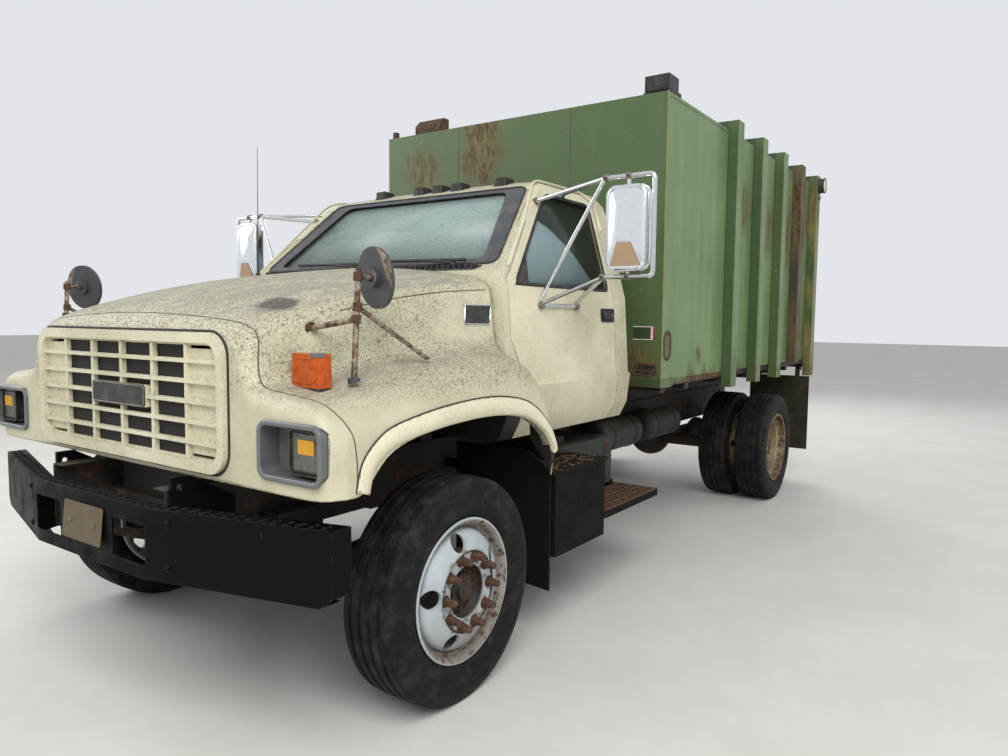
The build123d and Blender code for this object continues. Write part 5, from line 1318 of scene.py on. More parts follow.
# Section of the flare: x, share of the way from the arch lip to the flare's crest
FLARE_SECTION = ((1.150, 0.0), (1.2035, -0.04), (1.2105, 0.06), (1.2115, 0.45), (1.2075, 0.86), (1.1990, 1.0))
flare = Shape()
flare_seam = Shape()
crest = []
for i, (station, height, width) in enumerate(ARCH):
    before, after = ARCH[max(i - 1, 0)], ARCH[min(i + 1, len(ARCH) - 1)]
    run = Vector((after[0] - before[0], after[1] - before[1])).normalized()
    crest.append((station - run.y * width, height + run.x * width))
lines = []
for x, share in FLARE_SECTION:
    line = []
    for (inner, low, _), (station, height) in zip(ARCH, crest):
        line.append(at(x, inner + (station - inner) * share, low + (height - low) * share))
    lines.append(smooth_line(line, 60))
flare.rows(lines)
flare.both_sides()
flare.piece("fender_flares", "hood", [CREAM_FLARE], "cab_cream", shell=0.003, angle=50)
flare_seam.bead(smooth_line([at(1.200, *p) for p in crest], 60), (1, 0, 0), 0.006, 0.002)
flare_seam.both_sides()
flare_seam.piece("flare_seams", "hood", [TRIM], "black_plastic")

liner = Shape()
liner_arch = [(station, height + 0.012) for station, height, _ in ARCH if station < 0.46]
columns = [smooth_line([at(x, *p) for p in liner_arch], 34) for x in (0.80, 0.90, 1.00, 1.10, 1.172)]
liner.rows(list(zip(*columns)))
liner.both_sides()
liner.piece("arch_liners", "hood", [TRIM], "black_plastic", shell=0.004, angle=60)

# Badge plate on each side of the hood: a dark slanted plate in a light rim
badges = Shape()
BADGE_OUTLINE = [(0.262, 1.545), (0.452, 1.545), (0.470, 1.632), (0.280, 1.632)]


def on_hood_side(u, v, w):
    """Places an outline of station and height on the hood's left side."""
    spot, normal = near_hood(at(0.94, u, v))
    return spot + normal * w


def fine_outline(outline, steps):
    """The outline with points added along its sides."""
    result = []
    for (u0, v0), (u1, v1) in zip(outline, outline[1:] + outline[:1]):
        result += [(u0 + (u1 - u0) * k / steps, v0 + (v1 - v0) * k / steps) for k in range(steps)]
    return result


slant = fine_outline(BADGE_OUTLINE, 6)
badges.plate(slant, (-0.002, 0.004), on_hood_side)
rim_path = [on_hood_side(u, v, 0.003) for u, v in slant]
badges.bead(rim_path, [near_hood(p)[1] for p in rim_path], 0.006, 0.003, 1, closed=True)
badges.both_sides()
badges.piece("side_badges", "hood", [PLASTIC, CHROME], "black_plastic")

# Grille: dark seam, a near-black sheet among the bars as painted shade in the openings, and the blank badge
# with its rim
edge_line = [at(u, -0.7615, v) for u, v in rounded_rectangle(1.388, 0.518, 0.094, 8, (0, GRILLE_HEIGHT))]
grille_seam = Shape()
grille_seam.bead(edge_line, (0, -1, 0), 0.012, 0.0022, closed=True)
grille_seam.piece("grille_seam", "hood", [TRIM], "black_plastic")
# Painted shade: this near-black sheet darkens the openings between the grille bars.
shade_sheet = Shape()
shade_sheet.plate(rounded_rectangle(0.900, 0.430, 0.02, centre=(0, GRILLE_HEIGHT)), (-0.7510, -0.7485), upright)
shade_sheet.piece("grille_shade_sheet", "hood", [GRILLE_SHADE_SHEET], "black_plastic")
badge = Shape()
badge_centre = (-0.005, GRILLE_HEIGHT)
badge.plate(rounded_rectangle(0.394, 0.090, 0.014, centre=badge_centre), (-0.785, -0.781), upright)
badge_line = [at(u, -0.785, v) for u, v in rounded_rectangle(0.384, 0.080, 0.012, centre=badge_centre)]
badge.bead(badge_line, (0, -1, 0), 0.005, 0.0025, 1, closed=True)
badge.piece("grille_badge", "hood", [PLASTIC, BARE], "black_plastic")

# Headlamps: recess with its bezel, square lens, and a blank sticker; turn lamps; round mirrors
LENS_STEPS = 8
for side, name in SIDES:
    lamp = Shape()
    recess = rounded_rectangle(0.280, 0.164, 0.026, centre=(side * LAMP_X, LAMP_HEIGHT))
    lamp.plate(recess, (-0.6915, -0.6895), upright)
    bezel = rounded_rectangle(0.302, 0.186, 0.036, 8, (side * LAMP_X, LAMP_HEIGHT))
    lamp.bead([at(u, -0.7675, v) for u, v in bezel], (0, -1, 0), 0.019, 0.006, 2, closed=True)
    square = (side * 1.080, 1.126)
    outside = rounded_rectangle(0.146, 0.152, 0.014, centre=square)
    inside = rounded_rectangle(0.134, 0.140, 0.010, centre=square)
    lamp.frame_ring([[at(u, st, v) for u, v in outline] for outline, st in
                     ((outside, -0.690), (outside, -0.7545), (inside, -0.7565), (inside, -0.745))], 1)
    lamp.piece(f"headlamp_recess_{name}", "hood", [RECESS, DARK_LENS, GREY_METAL], "lamp_grey", bevel=0.001)
    face_glass = Shape()
    shares = [-1 + 2 * i / LENS_STEPS for i in range(LENS_STEPS + 1)]
    face_glass.rows([[
        at(square[0] + u * 0.0655, -0.7485 - 0.004 * (1 - u * u) * (1 - v * v), square[1] + v * 0.0695)
        for u in shares] for v in shares])
    face_glass.piece(f"headlamp_lens_{name}", "hood", [HEAD_LENS], "lamp_grey", shell=0.002, angle=60)
    sticker = Shape()
    outline = rounded_rectangle(0.078, 0.048, 0.002, centre=(square[0] + side * 0.010, 1.146))
    sticker.plate(outline, (-0.7535, -0.7510), upright)
    sticker.piece(f"headlamp_sticker_{name}", "hood", [STICKER], "lamp_grey")

    turn_lamp = Shape()
    middle = (side * 0.935, -0.593)
    for low, high, spread, finish in ((1.300, 1.322, 0.0045, 0), (1.322, 1.4425, 0.0034, 1)):
        outline = rounded_rectangle(0.140 + 2 * spread, 0.054 + 2 * spread, 0.0085, centre=middle)
        turn_lamp.plate(outline, (low, high), at, finish)
    face_line = [at(u, -0.6238, v) for u, v in rounded_rectangle(0.116, 0.086, 0.030, 8, (middle[0], 1.382))]
    turn_lamp.bead(face_line, (0, -1, 0), 0.005, 0.0025, 1, closed=True)
    turn_lamp.box(at(side * 0.965, -0.626, 1.430), at(side * 1.010, -0.596, 1.4455), 2)
    turn_lamp.piece(f"turn_lamp_{name}", "hood", [TRIM, AMBER, GREY_METAL], "lamp_grey", bevel=0.004,
                    segments=3)

    # Round mirror: glass, centre bracket and the brackets of its post
    disc = Shape()
    glass_rows = [(0.0085, 0.0), (0.0085, 0.101), (0.0110, 0.104), (0.0125, 0.100), (0.0120, 0.0)]
    boss_rows = [(-0.034, 0.0), (-0.034, 0.009), (-0.026, 0.011), (-0.020, 0.014), (-0.020, 0.0)]
    disc.turn(glass_rows, (0, 0, 0), 48, 0, "Y")
    disc.turn(boss_rows, (0, 0, 0), 12, 1, "Y")
    swing = Vector((0, 1, 0)).rotation_difference(Vector((side * 0.24, 0.965, 0.11)))
    disc.points = [at(side * 1.050, -0.392, 1.712) + swing @ p for p in disc.points]
    for station, height in ((-0.490, 1.563), (-0.483, 1.606), (-0.480, 1.712)):
        disc.stud(at(side * 1.050, station, height), (0, -0.001, -0.015), (0, 0.001, 0.015), 0.017, 12, 2)
    disc.stud(at(side * 0.832, -0.503, 1.528), (0, 0, 0), (side * -0.010, 0, 0.002), 0.024, 14, 2)
    disc.piece(f"round_mirror_{name}", "hood", [POLISHED, PLASTIC, CRUST], "black_plastic", bevel=0.001)


# Bumper: bolts, blank plate and tread buttons
BUMPER_BUTTONS, BUMPER_BUTTON_PITCH = 24, 0.0485
BUMPER_LINE = ((0.400, -0.930), (1.185, -0.730))


def bumper_station(x):
    """Station of the bumper's face at an offset across."""
    return between(((0.0, -0.930), *BUMPER_LINE), abs(x))


bolts = Shape()
slope = Vector((BUMPER_LINE[1][0] - BUMPER_LINE[0][0], BUMPER_LINE[1][1] - BUMPER_LINE[0][1], 0)).normalized()
for side in (1, -1):
    out = Vector((side * slope.y, -slope.x, 0)).normalized()
    for height in (0.830, 0.668):
        spot = at(side * 0.520, bumper_station(0.520), height)
        bolts.stud(spot, out * -0.002, out * 0.003, 0.015, 16)
        bolts.stud(spot, out * 0.002, out * 0.009, 0.010, 6)
for side in (1, -1):
    bolts.stud(at(side * 0.089, -0.942, 0.760), (0, 0, 0), (0, -0.005, 0), 0.008, 6, 1)
bolts.piece("bumper_bolts", "chassis", [BLACK, BARE], "bare_steel", bevel=0.001)


def on_plate_holder(u, v, w):
    """Places an outline on the tilted face of the number plate's holder."""
    return at(u, -0.950 + (v - 0.684) * 0.016 / 0.152 + w, v)


number_plate = Shape()
outline = rounded_rectangle(0.300, 0.146, 0.012, centre=(0.0, 0.761))
number_plate.plate(outline, (-0.0004, 0.0010), on_plate_holder)
number_plate.piece("blank_number_plate", "chassis", [PLATE])

tread = Shape()
for side in (1, -1):
    for number in range(BUMPER_BUTTONS):
        x = 0.025 + number * BUMPER_BUTTON_PITCH
        for row in (0.020, 0.046):
            spot = at(side * x, bumper_station(x) + row, 0.8795)
            tread.turn([(0.0, 0.006), (0.0035, 0.007), (0.0035, 0.0105), (0.0, 0.013)], spot, 12, 0, "Z")
tread.piece("bumper_tread", "chassis", [BLACK], "bare_steel")

# Hubs, and the collars of the front wheels' nuts
FRONT_HUB_ROWS = [
    (0.0, 0.0), (0.0, 0.094), (0.008, 0.094), (0.010, 0.070), (0.026, 0.066), (0.030, 0.046), (0.044, 0.042),
    (0.050, 0.030), (0.052, 0.0),
]
REAR_HUB_ROWS = [(0.0, 0.0), (0.0, 0.088), (0.010, 0.086), (0.014, 0.060), (0.030, 0.052), (0.034, 0.0)]
HUB_BOLTS = 8
for side, name in SIDES:
    hub = Shape()
    centre = at(side * (FRONT_WHEEL_X + 0.070), 0, WHEEL_HEIGHT)
    hub.turn(mirrored(FRONT_HUB_ROWS, side), centre, 40, 1)
    for spot in round_axle(centre, 0.081, HUB_BOLTS):
        hub.stud(spot, outward(side, 0.006), outward(side, 0.018), 0.009, 6)
    for spot in round_axle(at(side * (FRONT_WHEEL_X + 0.120), 0, WHEEL_HEIGHT), STUD_CIRCLE, STUD_COUNT):
        hub.stud(spot, (0, 0, 0), outward(side, 0.005), 0.025, 16)
    hub.piece(f"front_hub_{name}", f"front_wheel_{name}", [CRUST, CHASSIS], "chassis_dark", bevel=0.001)
    hub = Shape()
    centre = at(side * (REAR_PAIR_X + 0.184), REAR_AXLE, WHEEL_HEIGHT)
    hub.turn(mirrored(REAR_HUB_ROWS, side), centre, 40)
    for spot in round_axle(centre, 0.074, HUB_BOLTS, math.pi / HUB_BOLTS):
        hub.stud(spot, outward(side, 0.008), outward(side, 0.026), 0.010, 6)
    hub.piece(f"rear_hub_{name}", f"rear_wheels_{name}", [CRUST], "chassis_dark", bevel=0.001)


# Refuse box: seams, lip, tape pocket, loop slot, debris opening and lamp glasses; the insides of the pocket,
# slot and opening are painted shade
WELD_POINTS, WELD_PITCH = 36, 0.05
box_seams = Shape()
for side in (1, -1):
    weld_line = [
        at(side * 1.1435 + random.uniform(-0.001, 0.001), 1.9795, 1.20 + k * WELD_PITCH)
        for k in range(WELD_POINTS)
    ]
    box_seams.bead(weld_line, Vector((side, -1, 0)).normalized(), 0.009, 0.004)
box_seams.piece("corner_weld", "box", [WELD], "box_green")
panel_seam = Shape()
for x in (0.47, -0.46):
    panel_seam.bead([at(x, 1.980, 1.21), at(x, 1.980, 2.94)], (0, -1, 0), 0.005, 0.0015)
for side in (1, -1):
    panel_seam.bead([at(side * 1.1430, st, 2.925) for st in (2.01, 3.07)], (side, 0, 0), 0.006, 0.0015)
panel_seam.piece("panel_seams", "box", [GREEN_DARK], "box_green")
lip_bar = Shape()
lip_bar.box(at(-1.1455, 1.972, 1.152), at(1.1455, 2.004, 1.214))
for side in (1, -1):
    lip_bar.box(at(side * 1.100, 2.004, 1.150), at(side * 1.1462, 2.160, 1.213))
    lip_bar.box(at(side * 1.108, 2.160, 1.166), at(side * 1.1452, 3.080, 1.206))
lip_bar.piece("front_lip", "box", [LIP], "box_green", bevel=0.005)

# Tape pocket by x and height: low and high edge of each strip, and its finish
POCKET = (
    (0.948, 1.070, 1.529, 1.535, 2), (0.948, 1.070, 1.450, 1.455, 2), (1.070, 1.084, 1.450, 1.535, 2),
    (1.084, 1.098, 1.452, 1.533, 3),
)
HOLE = [(0.955, 1.226), (0.985, 1.302), (1.060, 1.296), (1.104, 1.300), (1.112, 1.240), (1.060, 1.222),
        (1.000, 1.232)]
SLOT_CENTRE = (2.062, 1.415)
fittings = Shape()
for side in (1, -1):
    for x0, x1, z0, z1, finish in POCKET:
        fittings.box(at(side * x0, 1.9765, z0), at(side * x1, 1.9795, z1), finish)
    # Painted shade, partly the paint's own green: the pocket's inside is a flat darker green plate.
    fittings.box(at(side * 0.950, 1.9780, 1.455), at(side * 1.070, 1.9797, 1.529), 5)
    # Painted shade: the debris opening is a flat black plate on the box's face, standing in for the dark
    # inside of the opening.
    fittings.plate([(side * u, v) for u, v in HOLE], (1.9785, 1.9795), upright, 1)
    line = [at(side * u, 1.9785, v) for u, v in HOLE]
    fittings.bead(rounded(line, 0.006, 3), (0, -1, 0), 0.016, 0.005, 4, closed=True)
    slot_rim = rounded_rectangle(0.100, 0.170, 0.048, 8, SLOT_CENTRE)
    fittings.bead([at(side * 1.1432, u, v) for u, v in slot_rim], (side, 0, 0), 0.018, 0.006, 4, closed=True)
    # Painted shade, partly the paint's own green: a darker green plate lies inside the slot's rim.
    fittings.plate(rounded_rectangle(0.086, 0.156, 0.042, 8, SLOT_CENTRE), (1.1425, 1.1436),
                   lambda u, v, w: at(side * w, u, v), 5)
fittings.piece("front_fittings", "box", [WELD, TRIM, TAPE_WHITE, TAPE_RED, CRUST, GREEN_DARK], "box_green")
SCRAP_COUNT = 70
scraps = Shape()
for number in range(SCRAP_COUNT):
    side = 1 if number % 2 else -1
    spot = at(side * random.uniform(0.975, 1.098), 1.976, random.uniform(1.236, 1.270) - 0.004)
    reach = random_step((-0.014, 0.014), (-0.006, 0.001), (-0.004, 0.010))
    path = [spot, spot + reach * 0.5 + Vector((0, -0.002, 0.002)), spot + reach]
    scraps.tube(path, [0.0035, 0.0028, 0.0012], 5)
scraps.piece("packed_debris", "box", [LEAVES])

LAMP_GLASS_ROWS = [(0.0, 0.0), (0.0, 0.060), (0.004, 0.058), (0.010, 0.036), (0.012, 0.0)]
LAMP_RIM_ROWS = [(0.0, 0.074), (0.006, 0.074), (0.006, 0.062), (0.0, 0.060)]
lamp_faces = Shape()
for side in (1, -1):
    spot = at(side * 1.267, 5.590, 2.915)
    lamp_faces.turn(mirrored(LAMP_GLASS_ROWS, side), spot, 36)
    lamp_faces.turn(mirrored(LAMP_RIM_ROWS, side), spot, 36, 1)
    cable = [at(side * x, 5.590, z) for x, z in ((1.19, 2.85), (1.235, 2.80), (1.19, 2.72))]
    lamp_faces.tube(cable, 0.006, 8, 1)
lamp_faces.plate(rounded_rectangle(0.146, 0.080, 0.006, centre=(1.045, 3.022)), (2.0255, 2.0305), upright, 2)
lamp_faces.piece("box_lamp_glasses", "box", [WORK_LENS, TRIM, DARK_LENS], "lamp_grey")
FIN_COUNT, FIN_PITCH = 7, 0.018
fins = Shape()
for number in range(FIN_COUNT):
    station = 2.060 + number * FIN_PITCH
    fins.box(at(0.970, station, 3.066), at(1.120, station + 0.006, 3.0695))
fins.piece("floodlight_fins", "box", [PLASTIC], "black_plastic")


# Steps: tread buttons, leaf litter and rusty edge
# Each step's buttons: rows, buttons in a row, first x, first station, height
STEP_BUTTONS = ((5, 12, 0.930, 0.735, 0.8298), (6, 14, 0.875, 1.285, 0.5348))
BUTTON_ROWS = [(0.0, 0.005), (0.003, 0.006), (0.003, 0.0095), (0.0, 0.012)]
BUTTON_ROW_GAP, BUTTON_PITCH = 0.048, 0.046
LEAF_COUNT, LEAF_CORNERS = 330, 8
step_tread = Shape()
for side in (1, -1):
    for rows, count, x0, station, height in STEP_BUTTONS:
        for row in range(rows):
            for number in range(count):
                shift = BUTTON_PITCH / 2 if row % 2 else 0.0
                spot = at(side * (x0 + row * BUTTON_ROW_GAP), station + number * BUTTON_PITCH + shift, height)
                step_tread.turn(BUTTON_ROWS, spot, 10, 0, "Z")
    step_tread.box(at(side * 1.1495, 1.252, 0.492), at(side * 1.153, 1.950, 0.5320), 0)
    step_tread.box(at(side * 1.1400, 1.252, 0.5320), at(side * 1.153, 1.950, 0.5370), 1)
    step_tread.box(at(side * 0.8700, 1.256, 0.5340), at(side * 1.142, 1.946, 0.5356), 1)
step_tread.piece("step_treads", "chassis", [STEP, CRUST], "step_black")
leaves = Shape()
for number in range(LEAF_COUNT):
    side = 1 if number % 2 else -1
    low_step = number % 3 == 0
    x = random.uniform(0.93, 1.13)
    station = random.uniform(1.27, 1.90) if low_step else random.uniform(0.73, 1.25)
    ground = 0.535 if low_step else 0.830
    size, turn = random.uniform(0.010, 0.028), random.uniform(0, 2 * math.pi)
    centre = at(side * x, station, ground + 0.0012)
    ring = []
    for k in range(LEAF_CORNERS):
        angle = turn + 2 * math.pi * k / LEAF_CORNERS
        tip = k % 4 == 0
        reach = size * (1.0 if tip else 0.42 + 0.1 * random.random())
        lift = 0.005 * tip * random.random()
        ring.append(centre + Vector((math.cos(angle) * reach, math.sin(angle) * reach * 0.7, lift)))
    leaves.rows([ring, [p + Vector((0, 0, 0.0009)) for p in ring]], closed=True, capped=True)
leaves.piece("step_leaves", "chassis", [LEAVES])


# Under the truck: air tanks, silencer, straps, brake chambers and frame bolts
TANK_ROWS = [(0.0, 0.0), (0.0, 0.05), (0.012, 0.090), (0.035, 0.110), (0.545, 0.110), (0.568, 0.090),
             (0.580, 0.05), (0.580, 0.0)]
SILENCER_ROWS = [(0.0, 0.0), (0.0, 0.075), (0.02, 0.105), (0.58, 0.105), (0.60, 0.075), (0.60, 0.0)]
CHAMBER_ROWS = [(0.0, 0.0), (0.0, 0.055), (0.012, 0.078), (0.055, 0.082), (0.060, 0.088), (0.068, 0.088),
                (0.074, 0.080), (0.120, 0.070), (0.128, 0.0)]
PIPE_RADIUS = 0.035
TANK_X, TANK_HEIGHT = 0.640, 0.780
STRAP_STEPS = 28
under = Shape()
for side, station in ((1, 2.06), (1, 2.78), (-1, 2.78)):
    tank = at(side * TANK_X, station, TANK_HEIGHT)
    under.turn(TANK_ROWS, tank, 32, 0, "Y")
    for offset in (0.13, 0.45):
        middle = tank + Vector((0, offset, 0))
        turns = [2 * math.pi * k / STRAP_STEPS for k in range(STRAP_STEPS)]
        rays = [Vector((math.cos(angle), 0, math.sin(angle))) for angle in turns]
        under.bead([middle + 0.1125 * ray for ray in rays], rays, 0.028, 0.003, 1, closed=True)
        hanger = station + offset
        under.box(at(side * 0.428, hanger - 0.02, 0.74), at(side * 0.545, hanger + 0.02, 0.86), 1)
under.turn(SILENCER_ROWS, at(-0.640, 2.02, 0.775), 32, 2, "Y")
for pipe in (
    ((-0.34, 0.30, 0.86), (-0.40, 0.52, 0.62), (-0.46, 1.00, 0.545), (-0.50, 1.85, 0.545),
     (-0.640, 2.00, 0.775), (-0.640, 2.04, 0.775)),
    ((-0.640, 2.60, 0.775), (-0.640, 3.50, 0.775), (-0.66, 3.66, 0.74), (-0.78, 3.74, 0.62)),
):
    under.tube(bent([at(*p) for p in pipe], 0.08), PIPE_RADIUS, 14, 2)
for side in (1, -1):
    under.turn(CHAMBER_ROWS, at(side * 0.520, 4.245, 0.600), 28, 0, "Y")
    under.box(at(side * 0.520 - 0.02, 4.36, 0.530), at(side * 0.520 + 0.02, 4.42, 0.640), 1)
    for station in (0.95, 1.60, 2.20, 2.52, 3.20, 3.95, 4.98, 5.16):
        for height in (0.715, 0.795, 0.875):
            spot = at(side * 0.430, station, height)
            under.stud(spot, outward(side, -0.001), outward(side, 0.012), 0.011, 6, 1)
    for station in (1.262, 1.738):
        outline = rounded_rectangle(0.434, 0.294, 0.042, 6, (0.685, 0.715))
        strap = [at(side * u, station, v) for u, v in outline]
        out = [(p - at(side * 0.685, station, 0.715)).normalized() for p in strap]
        under.bead(strap, out, 0.045, 0.003, 1, closed=True)
under.tube([at(0.780, 1.32, 0.855), at(0.780, 1.32, 0.905)], 0.052, 24, 1)
under.piece("under_parts", "chassis", [CHASSIS_BLACK, CHASSIS, CRUST], "chassis_dark", bevel=0.001)
steering_gear = Shape()
for low, high in ((0.466, 0.568), (-0.478, -0.466)):
    steering_gear.box(at(low, -0.45, 0.640), at(high, -0.22, 0.780))
steering_gear.piece("steering_gear", "chassis", [CHASSIS_BLACK], "chassis_dark", bevel=0.008)

# Rear door: lamps, latches and tape
rear = Shape()
for side in (1, -1):
    for x, radius, finish in ((0.980, 0.055, 0), (0.830, 0.055, 1), (0.700, 0.040, 2)):
        lens_rows = [(0.0, 0.0), (0.0, radius), (0.006, radius), (0.009, radius * 0.86),
                     (0.013, radius * 0.5), (0.014, 0.0)]
        rear.turn(lens_rows, at(side * x, 5.6895, 1.370), 28, finish, "Y")
    for height in (1.50, 2.40):
        rear.box(at(side * 1.122, 5.655, height), at(side * 1.176, 5.735, height + 0.030), 3)
        rear.stud(at(side * 1.163, 5.640, height), (0, 0, -0.06), (0, 0, 0.09), 0.011, 10, 3)
    for number, x in enumerate((0.005, 0.110, 0.215, 0.400, 0.505)):
        rear.box(at(side * x, 5.6895, 1.325), at(side * (x + 0.098), 5.6915, 1.375), 4 + number % 2)
rear.piece("rear_door_fittings", "tailgate", [RED, AMBER, WORK_LENS, CRUST, TAPE_RED, TAPE_WHITE],
           "box_green", bevel=0.0015)

# Cabin: seat frame and cushions, gauges, pedals and the gear lever
seat_frame = Shape()
seat_frame.box(at(-0.700, 1.130, 1.036), at(0.700, 1.620, 1.262))
seat_frame.box(at(-0.712, 1.110, 1.250), at(0.712, 1.636, 1.292))
for x in (-0.66, 0.62):
    seat_frame.box(at(x, 1.118, 1.040), at(x + 0.04, 1.134, 1.252), 1)
seat_frame.piece("seat_frame", "chassis", [CABIN, BARE], "seat_vinyl", ["seat_bench"], bevel=0.006)


def pad(name, rows):
    """A crowned cushion with sewn channels: rows give the outline at steps across."""
    cushion = Shape()
    cushion.rows(rows, closed=True, capped=True)
    piece = cushion.piece(name, "chassis", [VINYL], "seat_vinyl", subdivide=1, angle=80)


BENCH_HALF, BENCH_STEPS, BENCH_CHANNELS = 0.715, 96, 16
OVAL_CORNERS = 20


def cushion_rows(section):
    """Sections across the bench; the ends pull in and each channel dips."""
    result = []
    for k in range(BENCH_STEPS + 1):
        share = k / BENCH_STEPS
        x = -BENCH_HALF + 2 * BENCH_HALF * share
        end = min(share, 1 - share)
        fall = max(0.0, 1 - end / 0.030) ** 2
        channel = 0.5 + 0.5 * math.cos(2 * math.pi * share * BENCH_CHANNELS)
        result.append(section(x, 1 - 0.34 * fall, 0.004 * channel))
    return result


def squared_oval():
    """Corners of an oval with full sides, as pairs from -1 to 1."""
    pairs = []
    for k in range(OVAL_CORNERS):
        angle = 2 * math.pi * k / OVAL_CORNERS
        c, s = math.cos(angle), math.sin(angle)
        pairs.append((math.copysign(abs(c) ** 0.5, c), math.copysign(abs(s) ** 0.6, s)))
    return pairs


def seat_section(x, fill, dip):
    """Outline of the seat cushion; its upper side is crowned."""
    points = []
    for u, v in squared_oval():
        crown = 0.012 * (1 - u * u) if v > 0.5 else 0.0
        height = 1.352 + v * 0.058 * fill + crown - (dip if v > 0 else 0)
        points.append(at(x, 1.370 + u * 0.262 * (0.94 + 0.06 * fill), height))
    return points


BACK_MIDDLE = at(0, 1.630, 1.645)
BACK_UP = Vector((0, 0.213, 0.977))
BACK_REARWARD = Vector((0, 0.977, -0.213))


def back_section(x, fill, dip):
    """Outline of the leaning back cushion; its forward side is crowned."""
    points = []
    for u, v in squared_oval():
        along = 0.218 * u * (0.94 + 0.06 * fill)
        thick = v * 0.062 * fill + (dip if v < 0 else 0) - (0.010 * (1 - u * u) if v < -0.5 else 0)
        points.append(BACK_MIDDLE + Vector((x, 0, 0)) + BACK_UP * along + BACK_REARWARD * thick)
    return points


def on_dashboard(u, v, w):
    """Places an outline on the dashboard's sloping face."""
    return at(u, 0.822 - (v - 1.56) * 0.25 + 0.008 + w, v)


pad("seat_cushion", cushion_rows(seat_section))
pad("seat_back", cushion_rows(back_section))
cabin = Shape()
cabin.plate(rounded_rectangle(0.52, 0.13, 0.02, centre=(0.40, 1.640)), (0.0, 0.004), on_dashboard)
for x, radius in ((0.30, 0.045), (0.50, 0.045), (0.20, 0.025), (0.60, 0.025)):
    gauge_rows = [(0.0, 0.0), (0.0, radius), (0.008, radius), (0.008, radius * 0.9), (0.003, radius * 0.85),
                  (0.003, 0.0)]
    cabin.turn(gauge_rows, at(x, 0.826, 1.622), 28, 1, "Y")
for x in (0.27, 0.40, 0.54):
    cabin.tube([at(x, 0.860, 1.420), at(x, 0.900, 1.250), at(x, 0.935, 1.180)], 0.009, 8, 1)
    cabin.box(at(x - 0.035, 0.925, 1.125), at(x + 0.035, 0.940, 1.200), 1)
cabin.tube(bent([at(0.05, 1.02, 1.036), at(0.04, 1.00, 1.30), at(0.07, 1.05, 1.52)], 0.05), 0.009, 8, 1)
knob_rows = [(-0.024, 0.0), (-0.018, 0.016), (0.0, 0.024), (0.018, 0.016), (0.024, 0.0)]
cabin.turn(knob_rows, at(0.07, 1.05, 1.54), 18, 1, "Z")
cabin.piece("cabin_fittings", "chassis", [CABIN, TRIM], "black_plastic", bevel=0.001)


# Stage, lamps and camera

CAMERA_PLACE = Vector((2.9843, FRONT_AXLE_Y - 2.3492, 1.5665))
CAMERA_YAW = 0.6096
CAMERA_PITCH = 0.0779
CAMERA_ROLL = 0.0105
CAMERA_FOCAL_PIXELS = 747.49
PHOTO_WIDTH_PIXELS = 1008
SENSOR = 36.0
FLOOR_REACH = 60.0


def make_camera():
    """The photo's camera, from numbers fitted to it."""
    data = bpy.data.cameras.new("camera")
    data.sensor_width = SENSOR
    data.lens = CAMERA_FOCAL_PIXELS * SENSOR / PHOTO_WIDTH_PIXELS
    data.clip_start = 0.05
    data.clip_end = 200.0
    camera = bpy.data.objects.new("camera", data)
    bpy.context.scene.collection.objects.link(camera)
    level = math.cos(CAMERA_PITCH)
    ahead = Vector((-math.sin(CAMERA_YAW) * level, math.cos(CAMERA_YAW) * level, -math.sin(CAMERA_PITCH)))
    right = ahead.cross(Vector((0, 0, 1))).normalized()
    up = right.cross(ahead)
    right, up = (
        math.cos(CAMERA_ROLL) * right + math.sin(CAMERA_ROLL) * up,
        math.cos(CAMERA_ROLL) * up - math.sin(CAMERA_ROLL) * right,
    )
    turn = Matrix((right, up, -ahead)).transposed()
    camera.matrix_world = Matrix.Translation(CAMERA_PLACE) @ turn.to_4x4()
    bpy.context.scene.camera = camera


def area_lamp(name, place, target, size, power):
    """A round soft lamp that looks at its target."""
    data = bpy.data.lights.new(name, "AREA")
    data.shape = "DISK"
    data.size = size
    data.energy = power
    lamp = bpy.data.objects.new(name, data)
    bpy.context.scene.collection.objects.link(lamp)
    lamp.location = place
    lamp.rotation_mode = "QUATERNION"
    lamp.rotation_quaternion = (Vector(target) - Vector(place)).to_track_quat("-Z", "Y")


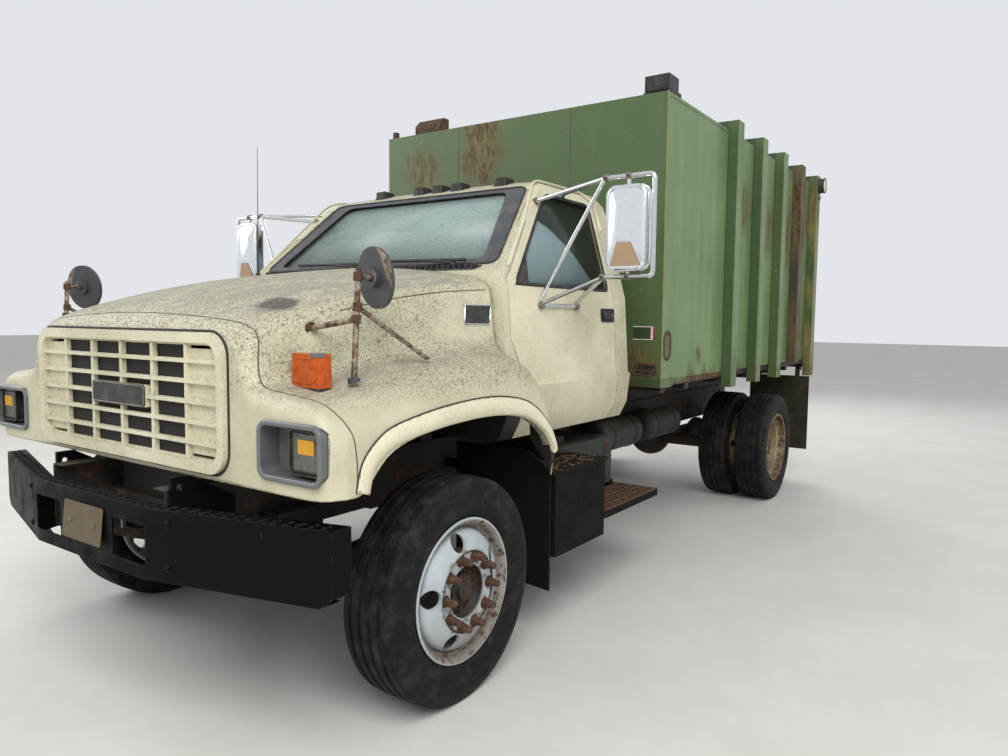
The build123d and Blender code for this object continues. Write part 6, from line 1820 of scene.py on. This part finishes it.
def make_world():
    """Soft sky light, with a paler backdrop where the camera, gloss or glass looks at it."""
    world = bpy.data.worlds.new("sky")
    bpy.context.scene.world = world
    world.use_nodes = True
    tree = world.node_tree
    tree.nodes.clear()
    out = tree.nodes.new("ShaderNodeOutputWorld")
    rays = tree.nodes.new("ShaderNodeLightPath")
    seen = rays.outputs["Is Camera Ray"]
    for kind in ("Is Glossy Ray", "Is Transmission Ray"):
        either = tree.nodes.new("ShaderNodeMath")
        either.operation = "MAXIMUM"
        tree.links.new(seen, either.inputs[0])
        tree.links.new(rays.outputs[kind], either.inputs[1])
        seen = either.outputs[0]
    light = tree.nodes.new("ShaderNodeBackground")
    light.inputs["Color"].default_value = (0.93, 0.96, 1.0, 1.0)
    light.inputs["Strength"].default_value = 0.62
    backdrop = tree.nodes.new("ShaderNodeBackground")
    backdrop.inputs["Color"].default_value = colour(226, 229, 233)
    backdrop.inputs["Strength"].default_value = 1.0
    choice = tree.nodes.new("ShaderNodeMixShader")
    tree.links.new(seen, choice.inputs[0])
    tree.links.new(light.outputs[0], choice.inputs[1])
    tree.links.new(backdrop.outputs[0], choice.inputs[2])
    tree.links.new(choice.outputs[0], out.inputs[0])


def make_floor():
    """The plain pale floor."""
    mesh = bpy.data.meshes.new("floor")
    corners = [(x * FLOOR_REACH, y * FLOOR_REACH, 0) for x, y in ((-1, -1), (1, -1), (1, 1), (-1, 1))]
    mesh.from_pydata(corners, [], [(0, 1, 2, 3)])
    floor = bpy.data.objects.new("floor", mesh)
    bpy.context.scene.collection.objects.link(floor)
    p = Paint("floor_pale", roughness=0.9)
    mottle = p.mix(p.rise(p.noise(1.4, 5.0), 0.3, 0.7), colour(214, 211, 205), colour(208, 204, 197))
    mesh.materials.append(p.done(mottle))


make_camera()
make_world()
make_floor()
area_lamp("key", (6.0, -7.5, 8.0), (0.0, -0.5, 1.2), 7.0, 900.0)
area_lamp("fill", (-7.5, -5.0, 5.5), (0.0, -1.0, 1.2), 6.0, 260.0)
area_lamp("back", (-2.0, 9.0, 7.0), (0.0, 1.0, 1.5), 6.0, 360.0)
bpy.context.scene.view_settings.view_transform = "Standard"
